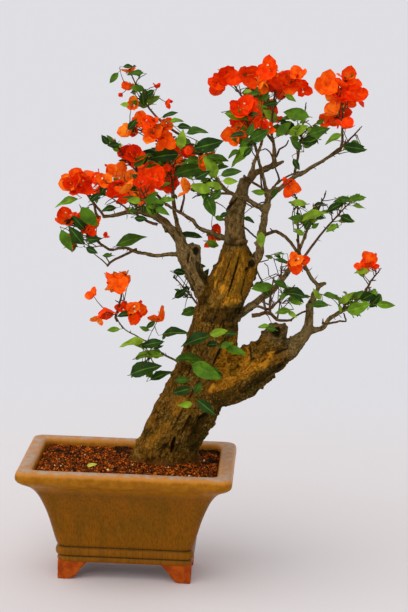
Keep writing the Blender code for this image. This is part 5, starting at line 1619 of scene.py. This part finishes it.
def growFine(name, room, stem, plans, leaves, blooms):
    # carries one mass on to finer twigs, with blooms in clusters
    _, _, middle, half, twigCount, leafCount, bloomCount, seed, _ = masses[name]
    middle = Vector(middle)
    draw = random.Random(crown["seed"] * 1000 + seed)
    share = bloomCount / twigCount
    leafMiddles, bloomMiddles = [], []

    def crowded(centre, middles, gap):
        return any((centre - other).length < gap for other in middles)

    def tryLeaf(joint, axes, length, droop, tone):
        centre = joint + axes[0] * (length * 0.55)
        if crowded(centre, leafMiddles, crown["leafGap"]) or crowded(centre, bloomMiddles, crown["bractGap"] * 1.1):
            return False
        if not openings.leafStays(joint, axes, length, middle, half):
            return False
        if not room.holds(leafSpots((joint, axes, length, droop))[1:], 1.2, rule["bladeLimit"]):
            return False
        leafMiddles.append(centre)
        harvest.leaf(joint, axes, length, droop, tone)
        return True

    def tryBloom(spot, axis, spin, cups, length, tone):
        centre = spot + axis * (length * 0.35)
        if crowded(centre, bloomMiddles, crown["bractGap"]) or not openings.bloomStays(spot, axis, length, middle):
            return False
        if not room.holds(bloomSpots((spot, axis, spin, cups, length)), 1.0, rule["bladeLimit"]):
            return False
        bloomMiddles.append(centre)
        harvest.bloom(spot, axis, spin, cups, length, tone, draw)
        return True

    def cluster(spot, axis, spin, cups, length):
        # one of the rule's blooms, with smaller ones round it
        tone = draw.random()
        size = length * 0.92
        if not openings.bloomStays(spot, axis, size, middle):
            return
        bloomMiddles.append(spot + axis * (size * 0.35))
        harvest.bloom(spot, axis, spin, cups, size, tone, draw)
        for k in range(crown["clusterBlooms"]):
            radial = around(axis, spin + math.tau * (k + 0.5) / crown["clusterBlooms"] + draw.uniform(-0.4, 0.4))
            way = (radial * draw.uniform(0.5, 1.1) + axis * draw.uniform(0.1, 0.8)).normalized()
            start = spot + way * 9.0 + axis * draw.uniform(-6, 3)
            if tryBloom(start, way, draw.uniform(0, math.tau), drawCups(draw, 0.35, 0.9),
                        length * draw.uniform(*crown["clusterSize"]),
                        min(1.0, max(0.0, tone + draw.uniform(-0.25, 0.25)))):
                harvest.twigs.append([(spot - axis * 2, 0.7), (start + way * 1.5, 0.6)])

    def flowerTwig(twig, outward):
        # a bloom at a fine twig's end, and often a second beside it
        end, way = pointOn(twig, 1.0)
        axis = (way + Vector((0, -0.15, 0.35))).normalized()
        tone = draw.random()
        if not tryBloom(end, axis, draw.uniform(0, math.tau), drawCups(draw),
                        rule["bractLength"] * draw.uniform(*crown["endSize"]), tone):
            return False
        if draw.random() < crown["secondShare"]:
            back, _ = pointOn(twig, 0.6)
            other = (outward * -0.6 + way * 0.6 + Vector((0, 0, 0.3))).normalized()
            if tryBloom(back + other * 9, other, draw.uniform(0, math.tau), drawCups(draw),
                        rule["bractLength"] * draw.uniform(*crown["secondSize"]), tone):
                harvest.twigs.append([(back, 0.7), (back + other * 10, 0.6)])
        return True

    def leafTwig(twig, outward, flowering):
        # alternate leaves along a fine twig, the last at its end where no bloom is
        count = 1 + int(leafCount * draw.uniform(0.4, 1.1))
        young = draw.random() < crown["youngShare"]
        for k in range(count):
            ends = k == count - 1 and not flowering
            joint, heads = pointOn(twig, 0.97 if ends else 0.3 + 0.6 * k / count)
            beside = besideOf(heads, outward)
            hand = (1 if k % 2 else -1) * (0.25 if ends else 1)
            along = heads + beside * (hand * draw.uniform(0.8, 1.6)) + Vector((0, 0, draw.uniform(-0.4, 0.25)))
            axes = bladeFrame(along, towardsLight(joint, middle, draw))
            size = crown["fineLeaf"] * draw.uniform(0.62, 1.15) * (0.75 if young and ends else 1)
            tone = draw.uniform(0.6, 0.95) if young else draw.uniform(0.0, 0.7)
            if not tryLeaf(joint, axes, size, draw.uniform(0.02, 0.22), tone):
                tryLeaf(joint, axes, size * 0.7, 0.1, tone)

    def sideTwig(spot, way, turn):
        outward = around(way, turn)
        heading = (outward + way * draw.uniform(0.3, 1.0) + Vector((0, 0, draw.uniform(-0.1, 0.5)))).normalized()
        length = draw.uniform(crown["sideTwigShort"], crown["sideTwigLong"])
        length = min(length, ellipsoidReach(spot - middle, heading, half) - 12)
        if length < 6:
            return
        bend = spot + heading * length * 0.5 + Vector((0, 0, 1)) * draw.uniform(-0.05, 0.15) * length
        twig = [(spot, 1.0), (bend, 0.8), (spot + heading * length, 0.55)]
        if not room.holds([pointOn(twig, t / 5)[0] for t in range(2, 6)], 1.0):
            return
        if openings.kind(twig[-1][0]) == "sky":
            return
        harvest.twigs.append(wobble(twig, 3, 0.6, draw))
        flowering = draw.random() < share * 0.75 and flowerTwig(twig, outward)
        leafTwig(twig, outward, flowering)
        if not flowering and draw.random() < crown["budShare"] * (0.4 + share):
            harvest.buds.append((*pointOn(twig, 1.0), draw.uniform(3.5, 6.5)))

    for bloom in blooms:
        cluster(*bloom)
    for joint, axes, length, droop in leaves:
        size = length * draw.uniform(0.84, 0.96)
        axes = bladeFrame(axes[0], towardsLight(joint, middle, draw))
        if openings.leafStays(joint, axes, size, middle, half):
            leafMiddles.append(joint + axes[0] * (size * 0.55))
            harvest.leaf(joint, axes, size, droop, draw.random())
    harvest.twigs.append(wobble(stem, 10, 1.0, draw))
    lines = [(stem, 0.35, crown["sideTwigs"] + 1)]
    for twig in plans:
        reach = (twig[-1][0] - twig[0][0]).length
        while reach > 14 and openings.kind(twig[-1][0]) == "sky":       # cut back until something hides the end
            twig = [twig[0], (twig[0][0].lerp(twig[-1][0], 0.7), twig[-1][1])]
            reach = (twig[-1][0] - twig[0][0]).length
        fine = wobble(twig, 6, 0.9, draw)
        harvest.twigs.append(fine)
        lines.append((fine, 0.3, crown["sideTwigs"]))
    for line, first, count in lines:
        turn = draw.uniform(0, math.tau)
        for k in range(count):
            turn += rule["goldenAngle"] + draw.uniform(-0.4, 0.4)
            place = first + (0.96 - first) * (k + draw.uniform(0.1, 0.9)) / count
            sideTwig(*pointOn(line, place), turn)


harvest = Harvest()
capsules = obstacles()
for massName in masses:
    room = Room(massName, capsules)
    growFine(massName, room, *grow(massName, room))


def spotsAlong(route):
    # points on a twig or bough that a new twig can start from
    spots = []
    for (a, _), (b, _) in zip(route, route[1:]):
        steps = max(1, int((b - a).length / crown["startGap"]))
        spots += [tuple(a.lerp(b, k / steps)) for k in range(steps + 1)]
    return spots


def depthAt(x, z, low, high, draw):
    # how far back a placed leaf or bloom lies: inside the mass that its line of sight crosses best
    found = []
    for _, _, middle, half, *_ in masses.values():
        flat = openings.flat(Vector(middle))
        apart = math.hypot((x - flat.x) / half[0], (z - flat.z) / half[2])
        found.append((apart + 0.004 * max(0, middle[1]), middle, half))
    _, middle, half = min(found)
    return middle[1] + half[1] * draw.uniform(low, high)


def placeCrown():
    # sets the placed leaves and blossom at their depths and joins them, nearest first, by twigs
    draw = random.Random(crown["seed"] + 21)
    for line in sprays:
        route = [(Vector(knot[:3]), knot[3]) for knot in line]
        harvest.twigs.append(wobble(route, max(4, int(len(route) * 2.5)), 0.5, draw))
    starts = []
    for knots in limbs.values():
        starts += spotsAlong([(point, radius) for point, radius in smoothRoute(knots, 3) if radius < 16])
    for route in harvest.twigs:
        starts += spotsAlong(route)
    items = []
    for x, z, turn, length, breadth in placedLeaves:
        items.append((openings.lifted(x, z, depthAt(x, z, -0.88, -0.4, draw)), length, turn, breadth))
    for x, z, size in placedBlooms:
        items.append((openings.lifted(x, z, depthAt(x, z, -0.7, 0.1, draw)), size, None, None))
    best = np.full(len(items), 1e9)
    pick = np.zeros(len(items), int)
    centres = np.array([tuple(item[0]) for item in items])

    def measure(begin):
        away = np.linalg.norm(centres[:, None] - np.array(starts[begin:])[None], axis=2)
        nearest = away.argmin(axis=1)
        gap = away[np.arange(len(items)), nearest]
        closer = gap < best
        best[closer], pick[closer] = gap[closer], nearest[closer] + begin

    def join(source, foot, thickest, thinnest, bends, last):
        gap = foot - source
        if gap.length <= 2.5:
            return
        rise = gap.orthogonal().normalized() * gap.length * draw.uniform(-0.10, 0.10)
        thick = min(thickest, thinnest + 0.011 * gap.length)
        twig = [(source, thick)]
        for share, off, lift, taper in bends:
            twig.append((source + gap * share + rise * off + Vector((0, 0, lift * gap.length)), thick * taper))
        twig.append((foot, last))
        harvest.twigs.append(wobble(twig, 5, 0.5, draw))
        starts.extend(spotsAlong(twig))

    def hangLeaf(centre, source, length, turn, breadth):
        angle = math.radians(turn)
        along = Vector((math.cos(angle), draw.uniform(-0.35, 0.35), math.sin(angle)))
        if (centre - source).dot(along) < 0:
            along = Vector((-along.x, along.y, -along.z))
        shown = min(1.0, breadth / (length * crown["leafBreadth"]))     # a narrow one is seen edge on
        tip = math.acos(shown) * draw.choice((0.9, 1.1))
        axes = bladeFrame(along.normalized(), Vector((0, -math.cos(tip), math.sin(tip) + 0.12)))
        blade = length * 1.06
        whole = min(blade + crown["stalk"], blade / 0.8)
        joint = centre - axes[0] * (whole - blade / 2)
        join(source, joint, 1.5, 0.62, ((0.35, 1.0, 0.03, 0.85), (0.72, 0.6, 0.0, 0.7)), 0.5)
        harvest.leaf(joint, axes, whole, draw.uniform(0.02, 0.16), draw.random() ** 1.45)

    def hangBloom(centre, source, length):
        stray = Vector((draw.uniform(-0.4, 0.4), draw.uniform(-0.9, -0.2), draw.uniform(-0.1, 0.6)))
        axis = ((centre - source).normalized() * 0.7 + stray).normalized()
        size = max(8.0, min(36.0, length * 0.94))
        foot = centre - axis * (size * 0.42)
        join(source, foot, 1.4, 0.6, ((0.4, 1.0, 0.0, 0.85),), 0.55)
        bud = size <= 15
        tone = draw.uniform(0.0, 0.35) if bud else draw.random()
        spin = draw.uniform(0, math.tau)
        cups = [cup * (2.2 if bud else 1.0) for cup in drawCups(draw, 0.45, 1.15)]
        harvest.bloom(foot, axis, spin, cups, size, tone, draw)

    measure(0)
    waiting = set(range(len(items)))
    while waiting:
        number = min(waiting, key=lambda k: best[k])
        waiting.discard(number)
        centre, length, turn, breadth = items[number]
        source, begun = Vector(starts[pick[number]]), len(starts)
        if turn is None:
            hangBloom(centre, source, length)
        else:
            hangLeaf(centre, source, length, turn, breadth)
        if len(starts) > begun:
            measure(begun)


placeCrown()
# one yellowing leaf lies on the soil
fallen = bladeFrame(Vector((1, 0.25, 0.10)), Vector((0.1, -0.62, 1)))
harvest.leaf(Vector((-80, -58, 220.5)), fallen, length=25, droop=-0.12, tone=2.0)
print("crown grown:", len(harvest.twigs), "twigs,", len(harvest.leaves), "leaves,", len(harvest.bracts), "bracts")


# Leaves
leafLook = {
    "lanes": (-1.0, -0.55, -0.085, 0.085, 0.55, 1.0),       # the middle two bound the pale midrib
    "rows": (0.012, 1 / 6, 2 / 6, 3 / 6, 4 / 6, 5 / 6),
    "fold": 0.30, "wave": 0.035, "arch": 0.06, "sway": 0.10,
    "tones": [(0.015, 0.045, 0.0018), (0.036, 0.092, 0.0026), (0.070, 0.160, 0.0034), (0.116, 0.232, 0.0045),
              (0.200, 0.320, 0.0120)],
    "others": {"leafRib": (0.085, 0.170, 0.012), "youngRib": (0.215, 0.330, 0.035),
               "yellowLeaf": (0.52, 0.47, 0.055)},
    "stalk": (0.10, 0.17, 0.025),
}


def bladeStrips(rows, lanes, count):
    # a grid over one blade with its tip last, and the faces of every blade: quads, then tip triangles
    gridU, gridV = np.meshgrid(rows, lanes, indexing="ij")
    lane, last = len(lanes), len(rows) - 1
    quads = np.array([(r * lane + c, r * lane + c + 1, (r + 1) * lane + c + 1, (r + 1) * lane + c)
                      for r in range(last) for c in range(lane - 1)])
    tips = np.array([(last * lane + c, last * lane + c + 1, (last + 1) * lane) for c in range(lane - 1)])
    offsets = np.arange(count)[:, None, None] * ((last + 1) * lane + 1)
    faces = (quads[None] + offsets).reshape(-1, 4).tolist() + (tips[None] + offsets).reshape(-1, 3).tolist()
    return np.append(gridU.ravel(), 1.0), np.append(gridV.ravel(), 0.0), faces


def spread(root, *ways):
    # points of every blade from its root, each way with how far the points go along it
    points = root[:, None]
    for way, reach in ways:
        points = points + way[:, None] * reach[..., None]
    return points.reshape(-1, 3)


def bladeRows(rows):
    # root, along, side and normal as vectors, then the three numbers of each blade, as columns
    vectors = [np.array([tuple(row[k]) for row in rows]) for k in range(4)]
    return vectors + [np.array([row[k] for row in rows])[:, None] for k in (4, 5, 6)]


def leafFinish(name, tone):
    leaf = Finish(name, Roughness=0.5, Specular_IOR_Level=0.12)
    darker, lighter = (tuple(share * k for k in tone) for share in (0.74, 1.28))
    return leaf.wear(Base_Color=leaf.mottled(darker, lighter, 0.36, 0.64, 17.0, 2.0))


def bladeWidth(u):
    # broad below the middle, drawn out to a point
    return np.sin(np.pi * np.clip(u, 0, 1) ** 0.80) ** 0.86 * (1 - 0.22 * u ** 3)


def buildLeaves():
    draw = np.random.default_rng(crown["seed"])
    root, along, side, normal, length, droop, tone = bladeRows(harvest.leaves)
    count = len(root)
    rows, lanes = leafLook["rows"], leafLook["lanes"]
    u, v, faces = bladeStrips(rows, lanes, count)
    half = crown["leafBreadth"] * draw.uniform(0.84, 1.12, (count, 1)) * length / 2 * bladeWidth(u)[None]
    fold = leafLook["fold"] * draw.uniform(0.3, 1.4, (count, 1))
    phase = draw.uniform(0, math.tau, (count, 1))
    wave = leafLook["wave"] * length * np.sin(u * 9 + phase) * np.abs(v) ** 2 * np.sign(v + 0.3)
    sag = -droop * u ** 2 * length + leafLook["arch"] * length * np.sin(np.pi * u)
    sway = draw.uniform(-leafLook["sway"], leafLook["sway"], (count, 1)) * length * u ** 2
    rise = sag + fold * np.abs(v) * half + wave
    points = spread(root, (along, u * length), (side, v * half + sway), (normal, rise))
    tones = len(leafLook["tones"])
    step = np.where(tone > 1, tones + 2, np.minimum((tone * tones).astype(int), tones - 1))     # past 1: yellowed
    rib = np.arange(len(lanes) - 1) == len(lanes) // 2 - 1
    toneOf = [np.where(np.tile(rib, times), tones + (step > 2), step).ravel() for times in (len(rows) - 1, 1)]
    finishes = [leafFinish("leafTone" + str(k), colour) for k, colour in enumerate(leafLook["tones"])]
    finishes += [leafFinish(name, colour) for name, colour in leafLook["others"].items()]
    return makePiece("leaves", points, faces, finishes, np.concatenate(toneOf))


def buildStalks():
    # a square stalk from each leaf's joint to its blade
    root, _, _, normal, *_ = bladeRows(harvest.leaves)
    joint = np.array([tuple(row[7]) for row in harvest.leaves])
    way = unit(root - joint)
    cross = unit(np.cross(way, normal))
    up = np.cross(cross, way)
    ring = [(math.cos(math.tau * k / 4), math.sin(math.tau * k / 4)) for k in range(4)]
    near = np.stack([joint - way * 0.5 + (cross * a + up * b) * 0.55 for a, b in ring], axis=1)
    far = np.stack([root + way * 0.6 + (cross * a + up * b) * 0.42 for a, b in ring], axis=1)
    sides = np.array([(k, (k + 1) % 4, 4 + (k + 1) % 4, 4 + k) for k in range(4)])
    sides = (sides[None] + np.arange(len(root))[:, None, None] * 8).reshape(-1, 4)
    points = np.concatenate([near, far], axis=1).reshape(-1, 3)
    return makePiece("leafStalks", points, sides, [leafFinish("stalkGreen", leafLook["stalk"])])


# Blossom
blossomLook = {
    "lanes": (-1.0, -0.64, -0.22, 0.22, 0.64, 1.0),
    "rows": (0.0, 0.12, 0.30, 0.50, 0.70, 0.88),
    "outline": (0.22, 0.80, 1.0, 1.0, 0.88, 0.54, 0),       # half widths at those rows and at the tip
    "width": 1.02, "crinkle": 0.05,
    "tones": [(0.80, 0.030, 0.0010), (0.94, 0.046, 0.0012), (1.0, 0.066, 0.0018), (1.0, 0.100, 0.0030),
              (1.0, 0.170, 0.0080)],
    "paintedGlow": 0.11,           # painted glow: the bracts give off light in their own colour, standing in for light that passes through them
    "flowers": 0.5, "opened": 0.13,         # share of bracts with a flower, and with an open one
    "starPoints": 5, "starReach": 2.6, "starNotch": 1.2,
    "tube": ((0.52, 0.17, 0.022), (0.60, 0.33, 0.05)), "star": ((0.80, 0.62, 0.30), (0.85, 0.75, 0.45)),
}


def bractFinish(name, tone):
    # the emission paints a glow into the bracts, though they are no lamp
    paper = Finish(name, Roughness=0.6, Specular_IOR_Level=0.04, Emission_Strength=blossomLook["paintedGlow"])
    deeper = (0.82 * tone[0], 0.66 * tone[1], 0.7 * tone[2])
    lighter = (min(1.0, 1.1 * tone[0]), 1.5 * tone[1], 1.6 * tone[2])
    colour = paper.mottled(deeper, lighter, 0.36, 0.66, 9.0, 3.0, 0.6)
    return paper.wear(Base_Color=colour, Emission_Color=colour)


def buildBracts():
    draw = np.random.default_rng(crown["seed"] + 1)
    root, along, side, normal, length, cup, tone = bladeRows(harvest.bracts)
    count = len(root)
    rows, lanes = blossomLook["rows"], blossomLook["lanes"]
    u, v, faces = bladeStrips(rows, lanes, count)
    outline = np.interp(u, [*rows, 1], blossomLook["outline"])
    half = blossomLook["width"] * length * draw.uniform(0.86, 1.1, (count, 1)) / 2 * outline[None]
    phase = draw.uniform(0, math.tau, (count, 1))
    ripple = np.sin(v * 7.5 + phase) * 0.5 + np.sin(u * 11 + phase * 2) * np.abs(v)
    ripple = blossomLook["crinkle"] * length * ripple
    bowl = cup * length * (v ** 2 * 0.55 * outline - 0.5 * np.sin(np.pi * u * 0.9))
    curl = draw.uniform(-0.30, 0.06, (count, 1)) * length * u ** 3
    back = -0.05 * length * (u < 0.05)
    points = spread(root, (along, u * length + back), (side, v * half), (normal, ripple + bowl + curl))
    tones = len(blossomLook["tones"])
    step = np.clip((tone[:, 0] * tones + draw.uniform(-0.5, 0.5, count)).astype(int), 0, tones - 1)
    toneOf = np.concatenate([np.repeat(step, times * (len(lanes) - 1)) for times in (len(rows) - 1, 1)])
    finishes = [bractFinish("bractTone" + str(k), colour) for k, colour in enumerate(blossomLook["tones"])]
    return makePiece("bracts", points, faces, finishes, toneOf)


def plainFinish(name, tones, low, high, size, roughness=0.5):
    made = Finish(name, Roughness=roughness, Specular_IOR_Level=0.15)
    return made.wear(Base_Color=made.mottled(*tones, low, high, size))


def buildFlowers():
    # the small true flower that stands on each bract: a slender tube with a pale star
    forms, kinds = [], []
    for root, way, length, chance in harvest.flowers:
        if chance > blossomLook["flowers"]:
            continue
        shape = ((0, 0.55), (0.5, 0.8), (0.86, 0.62), (1, 0.95))
        forms.append(tube([(root + way * length * share, radius) for share, radius in shape], 5, 0.5))
        kinds.append(0)
        if chance >= blossomLook["opened"]:
            continue
        star = [tuple(root + way * (length + 0.6))]
        corners = 2 * blossomLook["starPoints"]
        for k in range(corners):
            reach, lift = (blossomLook["starReach"], 1.0) if k % 2 == 0 else (blossomLook["starNotch"], 0.6)
            star.append(tuple(root + way * (length + lift) + around(way, math.tau * k / corners) * reach))
        forms.append((star, [[0, 1 + k, 1 + (k + 1) % corners] for k in range(corners)]))
        kinds.append(1)
    finishes = [plainFinish("flowerTube", blossomLook["tube"], 0.4, 0.6, 6.0),
                plainFinish("flowerStar", blossomLook["star"], 0.4, 0.6, 3.0)]
    return joined("flowers", forms, finishes, kinds)


# Twigs, buds and thorns
twigLook = {
    "tones": ((0.050, 0.024, 0.008), (0.165, 0.085, 0.026)), "grey": (0.26, 0.20, 0.11),
    "bud": ((0.16, 0.24, 0.03), (0.62, 0.16, 0.02)), "thorn": ((0.06, 0.026, 0.010), (0.22, 0.12, 0.045)),
    "thornGap": {"bough": 26.0, "stem": 30.0}, "thornLong": 8.0, "thornShort": 4.0,
    "thornBough": 6.1, "thornMost": 8.0,        # thicker boughs at their tips, and thicker places, have none
}


def twigFinish():
    twig = Finish("brownTwig", Roughness=0.85, Specular_IOR_Level=0.08)
    body = twig.mottled(*twigLook["tones"], 0.36, 0.66, 7.0, 4.0, 0.65)
    grey = twig.noise(twig.place(), 1.8, 2.0)
    body = twig.layers(body, (grey, 0.58, 0.72, 0.5, twigLook["grey"]))
    return twig.wear(Base_Color=body, Normal=twig.bump(grey, 0.4, 0.6))


def buildTwigs():
    forms = []
    for route in harvest.twigs:
        forms.append(tube(route, 7 if route[0][1] > 2 else 6 if route[0][1] > 1.2 else 5, 0.5))
    return joined("twigs", forms, [twigFinish()])


def buildBuds():
    forms = []
    for spot, way, size in harvest.buds:
        shape = ((0.4, 0.26), (0.8, 0.22), (1.25, 0.07))
        route = [(spot - way, 0.6)] + [(spot + way * size * share, size * radius) for share, radius in shape]
        forms.append(tube(route, 6, 0.8))
    return joined("buds", forms, [plainFinish("budGreen", twigLook["bud"], 0.42, 0.6, 8.0)])


def buildThorns():
    # hooked thorns on the thinner boughs and the stems
    draw = random.Random(crown["seed"] + 7)
    forms = []
    gaps = twigLook["thornGap"]
    carriers = [(smoothRoute(row, 4), gaps["bough"]) for row in limbs.values() if row[-1][3] < twigLook["thornBough"]]
    carriers += [(stemRoute(name), gaps["stem"]) for name in masses]
    for route, gap in carriers:
        count = int(sum((b[0] - a[0]).length for a, b in zip(route, route[1:])) / gap)
        for k in range(count):
            spot, way = pointOn(route, 0.25 + 0.7 * (k + draw.uniform(0.2, 0.8)) / count)
            radius = min(route, key=lambda row: (row[0] - spot).length)[1]
            out = around(way, draw.uniform(0, math.tau))
            size = draw.uniform(twigLook["thornShort"], twigLook["thornLong"])
            if radius > twigLook["thornMost"]:
                continue
            middle = spot + out * (radius + size * 0.5) + way * size * 0.12
            point = spot + out * (radius + size) + way * size * 0.35
            forms.append(tube([(spot + out * radius * 0.6, 0.95), (middle, 0.5), (point, 0.12)], 5, 0.5))
    return joined("thorns", forms, [plainFinish("thornBrown", twigLook["thorn"], 0.4, 0.62, 4.0, 0.6)])


leafPiece = buildLeaves()
stalkPiece = buildStalks()
bractPiece = buildBracts()
flowerPiece = buildFlowers()
twigPiece = buildTwigs()
budPiece = buildBuds()
thornPiece = buildThorns()
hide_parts(*masses)
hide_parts(*masses)
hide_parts(*[name for name, row in masses.items() if row[6]])
for piece, slotName in ((leafPiece, "foliage"), (stalkPiece, "foliage"), (budPiece, "foliage"),
                        (bractPiece, "blossom"), (flowerPiece, "blossom"), (twigPiece, "bark"), (thornPiece, "bark")):
    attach(piece, "root")
print("leaves, blossom and twigs made")
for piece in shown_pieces():
    print("  ", piece.name, sum(len(face.vertices) - 2 for face in piece.data.polygons), "triangles")
